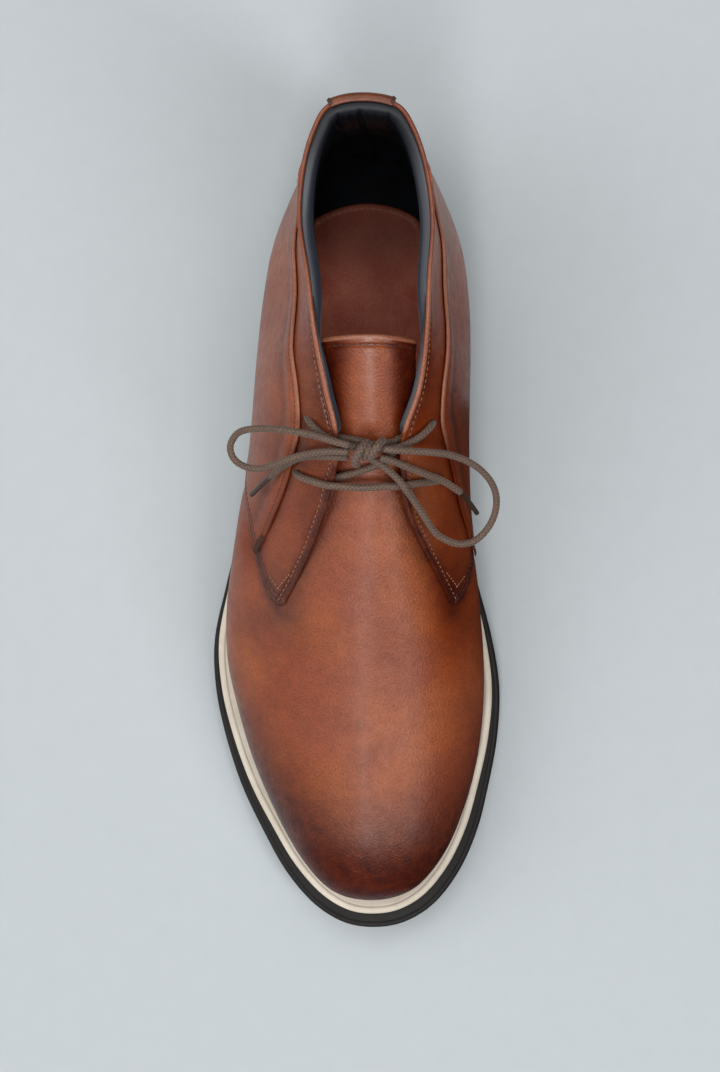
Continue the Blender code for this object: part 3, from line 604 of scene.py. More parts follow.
def build_lace():
    """The lace through its eyelets, the knot over it, and the loops and ends that leave the knot."""
    bar, _ = lace_piece("lace_bar_laced", ROUTES["lace_bar"])
    finish_piece(bar, "lace_cord", "lace_bar")
    for name in ("lace_top", "lace_under", "lace_across"):
        strand, _ = lace_piece(name, ROUTES[name])
        finish_piece(strand, "lace_cord", "lace_crossings")
    wraps, plaits, faces = [], [], []
    for radius, wrap in KNOT_WRAPS:
        loops, plait = braided_tube(smooth_route(wrap, CORD_STEP), radius)
        start = sum(len(points) for points in wraps)
        faces += [[start + k for k in face] for face in tube_faces(*loops.shape[:2])]
        wraps.append(loops.reshape(-1, 3))
        plaits.append(plait.ravel())
    knot = make_piece("lace_knot_wraps", np.vstack(wraps), faces, CORD, {"plait": np.concatenate(plaits)})
    finish_piece(knot, "lace_cord", "lace_knot")
    for side in ("left", "right"):
        tip = f"aglet_{side}"
        line = smooth_route(AGLET_ROUTES[tip], 0.5)
        _, beside, over = carried_frames(line)
        turn = 2 * math.pi * np.arange(20) / 20
        along = lengths_along(line)
        to_end = along[-1] - along
        reach = AGLET / 2 * (1 + 0.22 * np.exp(-along / 1.2)) * arc(np.clip(to_end / 0.7, 0, 1), 0.05)
        around = round_line(turn, beside, over)
        aglet = swept_piece(f"{tip}_film", line[:, None] + around * reach[:, None, None], AGLET_FILM)
        finish_piece(aglet, "aglet", tip)
        for kind, parts, far_end in (("loop", [knot], "knot"), ("end", [aglet], "fitting")):
            name = f"lace_{kind}_{side}"
            cord, path = lace_piece(f"{name}_braid", ROUTES[name])
            finish_piece(cord, "lace_cord", name)


build_lace()


# ---------------------------------------------------------------- the last's shape

def read(columns, name, row, beyond=None):
    """A column at fractional rows, on a smooth curve. Past an end row an outline carries on into its other side."""
    other = columns[beyond or name]
    values = np.array([other[1], *columns[name], other[-2]])
    last = len(values) - 3
    row = np.clip(np.asarray(row, float), 0, last)
    low = np.minimum(row.astype(int), last - 1)
    t = row - low
    before, start, end, after = (values[low + k] for k in range(4))
    bend = 2 * before - 5 * start + 4 * end - after
    return 0.5 * (2 * start + (end - before) * t + bend * t * t + (3 * start - before - 3 * end + after) * t**3)


def outline(columns, side, row):
    return np.stack([read(columns, side, row, OTHER[side]), read(columns, "y", row)], -1)


def level_outward(columns, side, row):
    """The level direction out of an outline at each row."""
    row = np.asarray(row, float)
    step, last = 0.02, len(columns["y"]) - 1
    past, short = (row > last - step)[..., None], (row < step)[..., None]
    ahead = np.where(past, outline(columns, OTHER[side], row - step), outline(columns, side, row + step))
    behind = np.where(short, outline(columns, OTHER[side], row + step), outline(columns, side, row - step))
    along = (ahead - behind) * TURN[side]
    return unit(np.stack([along[..., 1], -along[..., 0], 0 * along[..., 0]], -1))


def row_of(columns, y):
    """The fractional row where a table passes each y."""
    y = np.asarray(y, float)
    low, high = np.zeros_like(y), np.full_like(y, len(columns["y"]) - 1.0)
    for _ in range(40):
        middle = 0.5 * (low + high)
        before = read(columns, "y", middle) > y
        low, high = np.where(before, middle, low), np.where(before, high, middle)
    return 0.5 * (low + high)


def toe_lift(y):
    reach = np.maximum(0.0, (TOE_SPRING_START - y) / (TOE_SPRING_START - TOE_END))
    return TOE_SPRING * reach * reach


def sole_top(y):
    ramp = smoothstep((y - RAMP_START) / (RAMP_END - RAMP_START))
    return FOREFOOT_THICKNESS + (HEEL_THICKNESS - FOREFOOT_THICKNESS) * ramp + toe_lift(y)


def sole_bottom(y):
    breast = smoothstep((HEEL_BREAST - y) / BREAST_DEPTH)
    arch = ARCH_RISE * breast * smoothstep((y - ARCH_END) / (HEEL_BREAST - ARCH_END))
    return np.where(y > HEEL_BREAST, 0.0, np.where(y > ARCH_END, arch, toe_lift(y)))


def midsole_top(y):
    return sole_top(y) + GAP + MIDSOLE_THICKNESS


def midsole_inset(y):
    growth = np.maximum(0.0, (LEDGE_GROWTH_START - y) / (LEDGE_GROWTH_START - TOE_END))
    return MIDSOLE_LEDGE + (MIDSOLE_TOE_LEDGE - MIDSOLE_LEDGE) * growth


def bezier(a, b, c, d, t):
    t = np.asarray(t)[..., None]
    s = 1 - t
    return a * s**3 + b * (3 * s * s * t) + c * (3 * s * t * t) + d * t**3


def lifted(flat, z):
    return np.concatenate([flat, np.asarray(z)[..., None]], -1)


def widest_point(side, row):
    return lifted(outline(WIDEST, side, row), read(WIDEST, "z", row))


def ridge_point(row):
    y = np.maximum(read(WIDEST, "y", row), TOE_POLE[1])
    slope_line = TOE_POLE[2] + TOE_SLOPE * (y - TOE_POLE[1])
    z = slope_line + (read(WIDEST, "ridge_z", row) - slope_line) * smoothstep((y - TOE_POLE[1]) / 30.0)
    return np.stack([read(WIDEST, "ridge_x", row), y, z], -1)


def instep_rib(side, row, t):
    """The section of toe box, vamp and instep, from the widest line at t 0 up to the ridge at t 1."""
    start, end = widest_point(side, row), ridge_point(row)
    away = start - end
    away[..., 2] = 0
    width = np.linalg.norm(away, axis=-1, keepdims=True)
    away = away / width
    away[..., 2] = TOE_SLOPE * away[..., 1]
    fullness = 0.58 + 0.14 * smoothstep((end[..., 1] + 20.0) / 80.0)
    if side == "lateral":
        fullness = fullness - 0.05 * smoothstep((end[..., 1] + 106.0) / 60.0)
    lower = start.copy()
    lower[..., 2] += 0.42 * (end[..., 2] - start[..., 2])
    return bezier(start, lower, end + away * fullness[..., None] * width, end, t)


def share_at(side, row, x):
    """The t at which instep ribs pass x."""
    low, high = np.zeros_like(np.asarray(row, float)), np.ones_like(np.asarray(row, float))
    for _ in range(30):
        middle = 0.5 * (low + high)
        at = instep_rib(side, row, middle)[..., 0]
        outside = at < x if side == "lateral" else at > x
        low, high = np.where(outside, middle, low), np.where(outside, high, middle)
    return 0.5 * (low + high)


RIM_ROWS = np.linspace(0, len(EDGE["y"]) - 1, 601)
RIM_SHARES = {side: share_at(side, RIM_ROWS, outline(EDGE, side, RIM_ROWS)[:, 0]) for side in SIDES}


def ankle_rib(side, row, t):
    start = widest_point(side, row)
    end = lifted(outline(EDGE, side, row), read(EDGE, "z", row))
    lean = np.radians(read(EDGE, "lean", row))[..., None]
    down = level_outward(EDGE, side, row) * np.cos(lean) - np.sin(lean) * np.array((0.0, 0.0, 1.0))
    rise = (end[..., 2] - start[..., 2])[..., None]
    return bezier(start, start + rise * np.array((0.0, 0.0, 0.24)), end + down * 0.44 * rise, end, t)


def skin(side, row, t):
    """The upper's outer face: t is -1 at the feather line, 0 at the widest line and 1 at the top edge line."""
    row, t = np.broadcast_arrays(np.asarray(row, float), np.asarray(t, float))
    up = np.maximum(t, 0.0)
    ankle = smoothstep((read(WIDEST, "y", row) - INSTEP_STYLE) / (ANKLE_STYLE - INSTEP_STYLE))[..., None]
    rim = np.interp(row, RIM_ROWS, RIM_SHARES[side])
    above = instep_rib(side, row, np.minimum(rim * up, 1.0)) * (1 - ankle)
    above += ankle_rib(side, row, np.minimum(up, 1.0)) * ankle
    foot, top = outline(FEATHER, side, row), widest_point(side, row)
    base_z = midsole_top(foot[..., 1]) + GAP
    share = np.clip(1 + t, 0.0, 1.0)
    outwards = np.sin(0.5 * math.pi * share)[..., None]
    below = lifted(foot + (top[..., :2] - foot) * outwards, base_z + (top[..., 2] - base_z) * share)
    return np.where((t >= 0)[..., None], above, below)


def skin_slopes(side, row, t):
    step = 1e-3
    by_row = (skin(side, row + step, t) - skin(side, row - step, t)) / (2 * step)
    by_t = (skin(side, row, t + step) - skin(side, row, t - step)) / (2 * step)
    return by_row, by_t


def skin_normal(side, row, t):
    row, t = np.broadcast_arrays(np.asarray(row, float), np.asarray(t, float))
    by_row, by_t = skin_slopes(side, row, np.clip(t, -0.998, 1.2))
    return unit(np.cross(by_t, by_row)) * TURN[side] * -1.0


def on_skin(side, points):
    """(row, t) of given points: y picks the rib, and x and z, or x alone near the top, the place on it."""
    t = np.linspace(-1, 1.6, 1041)
    found = []
    for point in points:
        if len(point) == 1:
            found.append((float(row_of(EDGE, point[0])), 1.0))
            continue
        row = float(row_of(WIDEST, point[1]))
        rib = skin(side, row, t)
        miss = np.abs(rib[:, 0] - point[0]) + (10.0 * (t < 0.05) if len(point) == 2 else np.abs(rib[:, 2] - point[2]))
        found.append((row, t[np.argmin(miss)]))
    return np.array(found)


def traced(side, points, spacing=0.5):
    """Evenly spaced (row, t) places along a smooth line over the skin."""
    places = smooth_curve(on_skin(side, points))
    line = skin(side, places[:, 0], places[:, 1])
    return evenly(line, round(lengths_along(line)[-1] / spacing) + 1, places)


def shifted(side, places, distance):
    """A traced line moved over the skin: towards the rear for one that runs up from the tip."""
    row, t = places.T
    by_row, by_t = skin_slopes(side, row, t)
    along = np.gradient(skin(side, row, t), axis=0)
    across = unit(np.cross(skin_normal(side, row, t), along)) * distance * TURN[side]
    a, b, c = (np.sum(one * two, -1) for one, two in ((by_row, by_row), (by_row, by_t), (by_t, by_t)))
    p, q = np.sum(across * by_row, -1), np.sum(across * by_t, -1)
    share = a * c - b * b
    return np.column_stack([row + (p * c - q * b) / share, t + (q * a - p * b) / share])


# ---------------------------------------------------------------- panels of leather

EDGE_ROLL = 7  # rows of faces round a panel's edge
LEATHER, QUARTER_LEATHER, TONGUE_LEATHER = 1.4, 1.1, 2.4
EYELET_RADIUS = 1.62
SEAM_ROWS = (1.3, 3.1)  # how far inside an edge the stitches lie, here for a double row
FRONT_ROW, QUARTER_ROW, COLLAR_ROW, TONGUE_ROW, SOCK_ROW = 2.3, 1.5, 2.4, 2.2, 1.9


def clustered(count, gather=0.12):
    """Places from 0 to 1, closer together at both ends."""
    share = np.linspace(0, 1, count)
    return share - gather * np.sin(2 * math.pi * share)


def edge_outward(place, normal, edge, inner):
    """The direction over the surface out of a panel's edge column."""
    along = np.gradient(place[:, edge], axis=0)
    across = unit(np.cross(normal[:, edge], along))
    return across * np.sign(np.median(np.sum(across * (place[:, edge] - place[:, inner]), -1)))


def leaf(name, place, normal, outer, thickness, material, marks, caps=(True, True)):
    """A panel with rolled edges, from rows of skin points and the height of its outer face over them."""
    rows, columns = place.shape[:2]
    thick = np.broadcast_to(np.asarray(thickness, float), (rows, columns))
    turn = np.linspace(0, math.pi, EDGE_ROLL + 2)[1:-1]
    inner = np.unique([*range(0, columns, 4), columns - 1])[::-1]
    pieces, source = [place + normal * outer[..., None]], list(range(columns))
    for edge, near in ((-1, -4), (0, 3)):
        middle = place[:, edge] + normal[:, edge] * (outer[:, edge] - thick[:, edge] / 2)[:, None]
        away = edge_outward(place, normal, edge, near)
        lean = np.cos(turn) if edge == -1 else -np.cos(turn)
        half = (thick[:, edge] / 2)[:, None, None]
        rolled = (middle[:, None] + normal[:, edge][:, None] * lean[None, :, None] * half
                  + away[:, None] * np.sin(turn)[None, :, None] * half)
        if edge == -1:
            pieces += [rolled, (place + normal * (outer - thick)[..., None])[:, inner]]
            source += [columns - 1] * EDGE_ROLL + list(inner)
        else:
            pieces.append(rolled)
            source += [0] * EDGE_ROLL
    loops = np.concatenate(pieces, axis=1)
    given = {mark: np.broadcast_to(values, (rows, columns))[:, source] for mark, values in marks.items()}
    piece = make_piece(name, loops, tube_faces(*loops.shape[:2], caps), material, given, merge=0.004)
    return piece, pieces[0]


def applied(piece):
    """The piece with its modifiers worked into its mesh."""
    mesh = bpy.data.meshes.new_from_object(piece.evaluated_get(bpy.context.evaluated_depsgraph_get()))
    piece.modifiers.clear()
    piece.data = mesh
    return piece


def inside_edge(face, normal, distance, edge):
    """Points and normals on a panel's face at a distance inside its first or last column."""
    order = slice(None) if edge == 0 else slice(None, None, -1)
    line, lie = face[:, order], normal[:, order]
    along = unit(np.gradient(line[:, 0], axis=0))
    across = unit(line[:, 4] - line[:, 0])
    skew = np.maximum(np.linalg.norm(np.cross(along, across), axis=-1), 0.35)
    depth = row_lengths(line)
    points, normals = [], []
    for i in range(len(line)):
        at = min(distance / skew[i], 0.5 * depth[i, -1])
        points.append([np.interp(at, depth[i], line[i, :, k]) for k in range(3)])
        normals.append([np.interp(at, depth[i], lie[i, :, k]) for k in range(3)])
    return np.array(points), unit(np.array(normals))


def pressed(distance, *rows_of_stitches):
    """The depth that rows of stitches press a panel's edge down to, at a distance from the edge."""
    return sum(-0.22 * hump(distance - at, 0.34) for at in rows_of_stitches)


def edge_stain_and_shade(distance, reach, strength):
    """The darker band at a panel's edge: a stain along a panel's own edge, and painted shade where another panel's edge
    lies over it.
    """
    return strength * hump(distance, reach)


SEWN = []  # lines to sew: points, the way they face, pitch, thread, and each stitch's length, width and turn


def sew(points, normals, pitch, thread, length=None, width=0.42, turned=0.0):
    SEWN.append((points, normals, pitch, thread, length or 0.80 * pitch, width, turned))


def smoke_and_shade(points, patches):
    """Darker clouds of hand burnishing, and of painted shade on the medial side and beside the lateral facing's front
    edge: each patch is a centre, its half sizes across and along, and its depth.
    """
    x, y = points[..., 0], points[..., 1]
    return sum(depth * np.exp(-(((x - at_x) / wide) ** 2) - (((y - at_y) / long) ** 2))
               for at_x, at_y, wide, long, depth in patches)


SMOKE_AND_SHADE = {  # patches of smoke and of painted shade, by panel
    "lateral": [(-11.0, 33.0, 10.0, 24.0, 0.55), (-23.0, -22.0, 9.0, 11.0, 0.42), (-15.0, 6.0, 5.0, 12.0, 0.22)],
    "medial": [(33.0, 44.0, 9.0, 30.0, 0.35), (39.5, -20.0, 8.0, 14.0, 0.50)],
    "quarters": [(43.0, 40.0, 8.0, 24.0, 0.45), (-31.0, 6.0, 6.0, 18.0, 0.18)],
    "vamp": [(-18.0, -35.0, 8.0, 12.0, 0.20), (-31.0, -34.0, 13.0, 8.0, 0.36), (-24.0, -47.0, 9.0, 5.0, 0.14),
             (40.0, -34.0, 8.0, 9.0, 0.30)],
}


def sew_tack(start, end, normal, thread, pitch, length):
    """A bar tack: threads laid side by side across a short line."""
    line = np.linspace(start, end, 12)
    sew(line, np.broadcast_to(normal, line.shape), pitch, thread, length, 0.45, math.pi / 2)


# Smooth lines over the skin, each as (row, t)
CORNERS = {"lateral": (-34.3, -9.0, 60.6), "medial": (46.4, -9.6, 40.2)}
SPLIT_Y = {"lateral": -7.0, "medial": -6.0}  # where a facing's front part ends along its front edge
UNDERLAP = 4.5  # how far the facing reaches under the quarter


def front_edge(side):
    tip, turn = TIPS[side], TURN[side]
    rounding = [tip, (tip[0] + 1.5 * turn, tip[1] + 0.5)]
    return traced(side, rounding + FRONT_EDGES[side], spacing=0.4)


def eased(places):
    """A traced line with its small wobbles smoothed out and its ends kept."""
    places = places.copy()
    for _ in range(60):
        places[1:-1] = (places[:-2] + 2 * places[1:-1] + places[2:]) / 4
    return places


def vamp_seam(side):
    tip, turn = TIPS[side], TURN[side]
    z = float(skin(side, *on_skin(side, [tip])[0])[2])
    rounding = [(*tip, z), (tip[0] - 1.3 * turn, tip[1] + 0.4, z - 0.6)]
    return traced(side, rounding + VAMP_SEAMS[side] + [CORNERS[side]], spacing=0.4)


FRONT = {side: front_edge(side) for side in SIDES}
TIP_SEAM = {side: vamp_seam(side) for side in SIDES}
REAR_SEAM = {side: eased(traced(side, [CORNERS[side]] + REAR_VAMP_SEAMS[side])) for side in SIDES}
QUARTER_FRONT = {side: traced(side, [CORNERS[side]] + QUARTER_EDGES[side]) for side in SIDES}


def on_surface(side, places):
    return skin(side, places[:, 0], places[:, 1])


SEAM_LINES = {name: {side: on_surface(side, lines[side]) for side in SIDES}
              for name, lines in (("front", FRONT), ("tip", TIP_SEAM), ("rear", REAR_SEAM), ("quarter", QUARTER_FRONT))}


def warmth_and_medial_shade(points):
    """Warmer tone with less sheen: the dye's own on the lateral quarter and at the toe's end, and painted shade with a
    painted warm reflection on the medial side.
    """
    x, y, z = points[..., 0], points[..., 1], points[..., 2]
    start = 26 - 11 * smoothstep((z - 72) / 14) * smoothstep((y - 18) / 14)
    medial = smoothstep((x - start) / 12) * smoothstep((y + 70) / 40) * smoothstep((112 - y) / 40)
    lateral = 0.7 * smoothstep((-24 - x) / 14) * smoothstep((y + 22) / 20) * smoothstep((18 - y) / 25)
    return np.clip(medial + lateral + 0.75 * smoothstep((-112 - y) / 14), 0, 1)


def toe_burnish_and_shade(points):
    """How dark the vamp is: burnished at its toe, darker along the line above the welt, painted shade on the medial
    side, and a few clouds.
    """
    x, y, z = points[..., 0], points[..., 1], points[..., 2]
    toe = smoothstep((-86 - y + 0.016 * (x - 11) ** 2) / 46)
    # Painted shade down the medial flank.
    medial = 0.40 * smoothstep((x - 22) / 14) * smoothstep((y + 105) / 34)
    low = np.exp(-np.clip(z - midsole_top(y), 0, None) / (7.0 + 20 * medial))
    low = low * (0.20 + medial + 0.35 * smoothstep((-60 - y) / 50))
    return np.clip(0.88 * toe + low + smoke_and_shade(points, SMOKE_AND_SHADE["vamp"]), 0, 0.95)


def near_collar(points):
    """0 low on the throat and 1 towards the collar."""
    return smoothstep((points[..., 1] - 22.0) / 16.0)


def build_facing(side):
    """The eyelet facing, from its rounded tip on the vamp up to the collar, its rear edge under the quarter."""
    front, tip_seam = FRONT[side], TIP_SEAM[side]
    front_line = on_surface(side, front)
    split = int(np.argmin(np.abs(front_line[:, 1] - SPLIT_Y[side]) + 50.0 * (np.arange(len(front)) < 8)))
    under = shifted(side, QUARTER_FRONT[side], 1.0)
    step = under - QUARTER_FRONT[side]
    along = lengths_along(on_surface(side, QUARTER_FRONT[side]))
    taper = np.minimum(along / 9.0, 1.0)[:, None]
    back_edge = QUARTER_FRONT[side] + step * UNDERLAP * taper
    back_edge[:, 1] = np.minimum(back_edge[:, 1], 1.0)
    tip_rows, rows = 64, 250
    starts = evenly(front_line[:split + 1], tip_rows, front[:split + 1])
    ends = evenly(on_surface(side, tip_seam), tip_rows, tip_seam)
    starts = np.vstack([starts, evenly(front_line[split:], rows, front[split:])[1:]])
    ends = np.vstack([ends, evenly(on_surface(side, back_edge), rows, back_edge)[1:]])
    across = clustered(84)[None, :, None]
    places = starts[:, None] * (1 - across) + ends[:, None] * across
    row, t = places[..., 0], places[..., 1]
    place, normal = skin(side, row, t), skin_normal(side, row, t)
    d_front = distance_to(place, on_surface(side, front))
    d_tip = distance_to(place, SEAM_LINES["tip"][side])
    d_quarter = distance_to(place, SEAM_LINES["quarter"][side])
    d_back = distance_to(place, on_surface(side, back_edge))
    covered = np.clip((np.arange(len(place)) - tip_rows) / 25, 0, 1)[:, None]
    outer = -0.30 - 0.62 * covered * smoothstep((UNDERLAP + 0.6 - d_back) / 2.0) - 0.12 * covered * hump(d_quarter, 3.0)
    outer = outer + pressed(d_front, FRONT_ROW) + pressed(d_tip, *SEAM_ROWS)
    outer = outer + 0.12 * hump(d_front - 3.8, 2.0) - 0.14 * hump(d_front - 1.25, 0.28)
    low_edge = smoothstep((24.0 - place[..., 1]) / 8.0)
    burnish = low_edge * (0.50 * smoothstep((1.5 - d_front) / 0.5) + 0.55 * hump(d_front, 4.5))
    burnish = burnish + edge_stain_and_shade(d_tip, 4.2, 0.82)
    upper = near_collar(place)
    # Beside the quarter's edge this band is painted shadow cast by the quarter onto the facing.
    burnish = burnish + edge_stain_and_shade(d_quarter, 3.0, 0.50) * (1 - 0.6 * upper) + 0.42 * upper * hump(d_front, 6.0)
    burnish = burnish + 0.25 * hump(d_front - FRONT_ROW, 0.5) + smoke_and_shade(place, SMOKE_AND_SHADE[side])
    marks = {"burnish": np.clip(burnish, 0, 0.9), "warmth": warmth_and_medial_shade(place), "rim": 0.0}
    name = f"facing_{side}"
    thick = LEATHER - 0.95 * smoothstep((place[..., 1] - 70.0) / 25.0)
    piece, face = leaf(name, place, normal, outer, thick, CALF, marks, caps=(False, True))
    punch_eyelets(piece, side)
    seam, lie = inside_edge(face, normal, FRONT_ROW, 0)
    sew(seam[9:], lie[9:], 2.2, THREAD_LIGHT, 1.5, 0.36)
    for distance in SEAM_ROWS:
        seam, lie = inside_edge(face, normal, distance, -1)
        sew(seam[5:tip_rows - 2], lie[5:tip_rows - 2], 2.3, THREAD_DARK)
    tack_v(face, normal)
    return piece


def tack_v(face, normal):
    """The small V of stitches inside a facing's tip."""
    row = 30
    middle = face.shape[1] // 2
    for column, towards in ((middle - 14, middle), (middle + 12, middle)):
        start, end = face[row + 4, column], face[row - 8, towards]
        sew(np.linspace(start, end, 8), np.broadcast_to(normal[row, middle], (8, 3)), 1.5, THREAD_LIGHT, 1.2)


def punch_eyelets(piece, side):
    """Round holes through a facing for the lace."""
    punch = bmesh.new()
    for x, y in EYELETS[side]:
        row, t = on_skin(side, [(x, y)])[0]
        centre, normal = skin(side, row, t), skin_normal(side, row, t)
        turn = Vector((0, 0, 1)).rotation_difference(Vector(normal)).to_matrix().to_4x4()
        bmesh.ops.create_cone(punch, cap_ends=True, segments=28, radius1=EYELET_RADIUS * MM, radius2=EYELET_RADIUS * MM,
                              depth=8 * MM, matrix=Matrix.Translation(Vector(centre) * MM) @ turn)
    mesh = bpy.data.meshes.new("eyelet_punch")
    punch.to_mesh(mesh)
    punch.free()
    tool = add_object("eyelet_punch", mesh)
    cut = piece.modifiers.new("eyelets", "BOOLEAN")
    cut.operation = "DIFFERENCE"
    cut.solver = "EXACT"
    cut.object = tool
    applied(piece)
    bpy.data.objects.remove(tool)


def rim_line(side, rows):
    return skin(side, rows, np.ones(len(rows)))


def one_way(side, rows):
    """A side's rows as they come in a run from the lateral side round the heel to the medial side."""
    return side, rows if side == "lateral" else rows[::-1][1:]


def round_heel(y_start, count):
    """Rows from the lateral side round the heel to the medial side, as (side, rows), evenly along the top edge."""
    parts = []
    for side in SIDES:
        rows = np.linspace(float(row_of(EDGE, y_start)), 0.0, 500)[:, None]
        parts.append(one_way(side, evenly(rim_line(side, rows[:, 0]), count, rows)[:, 0]))
    return parts


def joined(parts):
    return np.concatenate(parts, axis=0)


def t_at(rows, places, before=None):
    """The t where a traced line passes each row."""
    order = np.argsort(places[:, 0])
    return np.interp(rows, places[order, 0], places[order, 1], left=before)


def to_either(points, lines):
    return np.minimum(*[distance_to(points, lines[side]) for side in SIDES])


def build_quarters():
    """The rear quarters and counter, in one run round the heel, over the facings and the vamp."""
    places, normals = [], []
    across = clustered(92, 0.13)
    for side in SIDES:
        seam, rear = QUARTER_FRONT[side], REAR_SEAM[side]
        corner = on_skin(side, [CORNERS[side]])[0][0]
        rows = np.unique(np.concatenate([
            corner * (1 - np.linspace(0, 1, 120) ** 1.35),
            np.linspace(row_of(EDGE, 98.0), row_of(EDGE, 119.0), 40),
            np.linspace(0.0, 2.4, 40),
        ]))[::-1]
        top, bottom = t_at(rows, seam, 1.0), t_at(rows, rear, -1.0)
        share = bottom[:, None] + (top - bottom)[:, None] * across[None, :]
        grid = np.broadcast_to(rows[:, None], share.shape)
        place, normal = skin(side, grid, share), skin_normal(side, grid, share)
        if side == "medial":
            place, normal = place[::-1][1:], normal[::-1][1:]
        places.append(place)
        normals.append(normal)
    place, normal = joined(places), joined(normals)
    quarter = to_either(place, SEAM_LINES["quarter"])
    rear = to_either(place, SEAM_LINES["rear"])
    rim = distance_to(place, joined([rim_line(side, np.linspace(0, 8, 600)) for side in SIDES]))
    near_corner = to_either(place, {side: on_surface(side, on_skin(side, [CORNERS[side]])) for side in SIDES})
    band = smoothstep((8.0 - quarter) / 4.5) * smoothstep((near_corner - 3.0) / 14.0)
    outer = 0.12 + 0.70 * band
    fade_in = smoothstep((near_corner - 2.0) / 6.0)
    outer = outer - 0.30 * (1 - fade_in)
    behind_rim = smoothstep((place[..., 1] - 112.0) / 8.0)
    back_seam = hump(place[..., 0] - 6.5, 0.5) * (place[..., 1] > 120)
    outer = outer + pressed(quarter, QUARTER_ROW) + pressed(rear, *SEAM_ROWS) + behind_rim * pressed(rim, COLLAR_ROW)
    outer = outer - 0.35 * back_seam - 0.175 * hump(rear, 1.2)
    upper = near_collar(place)
    burnish = edge_stain_and_shade(quarter, 1.3, 0.40) * (1 - upper) + edge_stain_and_shade(rear, 2.6, 0.5)
    burnish = burnish + 0.35 * hump(quarter - 8.5, 2.5) * smoothstep((near_corner - 5.0) / 14.0)
    above_welt = np.clip(place[..., 2] - midsole_top(place[..., 1]), 0, None)
    burnish = burnish + 0.35 * np.exp(-above_welt / 7.0) + 0.5 * back_seam
    burnish = burnish + smoke_and_shade(place, SMOKE_AND_SHADE["quarters"])
    # A painted highlight along the quarter's front edge towards the collar, in the light rim tone.
    rubbed_and_highlight = 0.95 * upper * hump(quarter, 0.9)
    marks = {"burnish": np.clip(burnish, 0, 0.9), "warmth": warmth_and_medial_shade(place) * (1 - rubbed_and_highlight), "rim": rubbed_and_highlight}
    piece, face = leaf("quarters", place, normal, outer, QUARTER_LEATHER, CALF, marks, caps=(False, False))
    middle = int(np.argmax(place[:, 0, 1]))
    for half in (slice(0, middle), slice(middle, None)):
        seam, lie = inside_edge(face[half], normal[half], QUARTER_ROW, -1)
        line_y = face[half][:, -1, 1]
        use = (line_y < 115) & (line_y > -4)
        sew(seam[use], lie[use], 1.9, THREAD_DARK, 1.3, 0.36)
        use = face[half][:, 0, 1] < (43 if half.start == 0 else 25)
        for distance in SEAM_ROWS:
            seam, lie = inside_edge(face[half], normal[half], distance, 0)
            sew(seam[use], lie[use], 2.3, THREAD_DARK)
    seam, lie = inside_edge(face, normal, COLLAR_ROW, -1)
    use = face[:, -1, 1] > 117
    sew(seam[use], lie[use], 2.5, THREAD_LIGHT)
    return piece


def tack_corner(side):
    """The bar tack where the quarter's front edge runs out on the vamp seam."""
    seam = SEAM_LINES["quarter"][side]
    along = lengths_along(seam)
    places = [QUARTER_FRONT[side][np.argmin(np.abs(along - at))] for at in (-0.5, 8.5)]
    start, end = (skin(side, *p) + skin_normal(side, *p) * 0.50 for p in places)
    for pitch, length in ((0.7, 2.6), (1.3, 3.2)):
        sew_tack(start, end, skin_normal(side, *places[1]), THREAD_DARK, pitch, length)


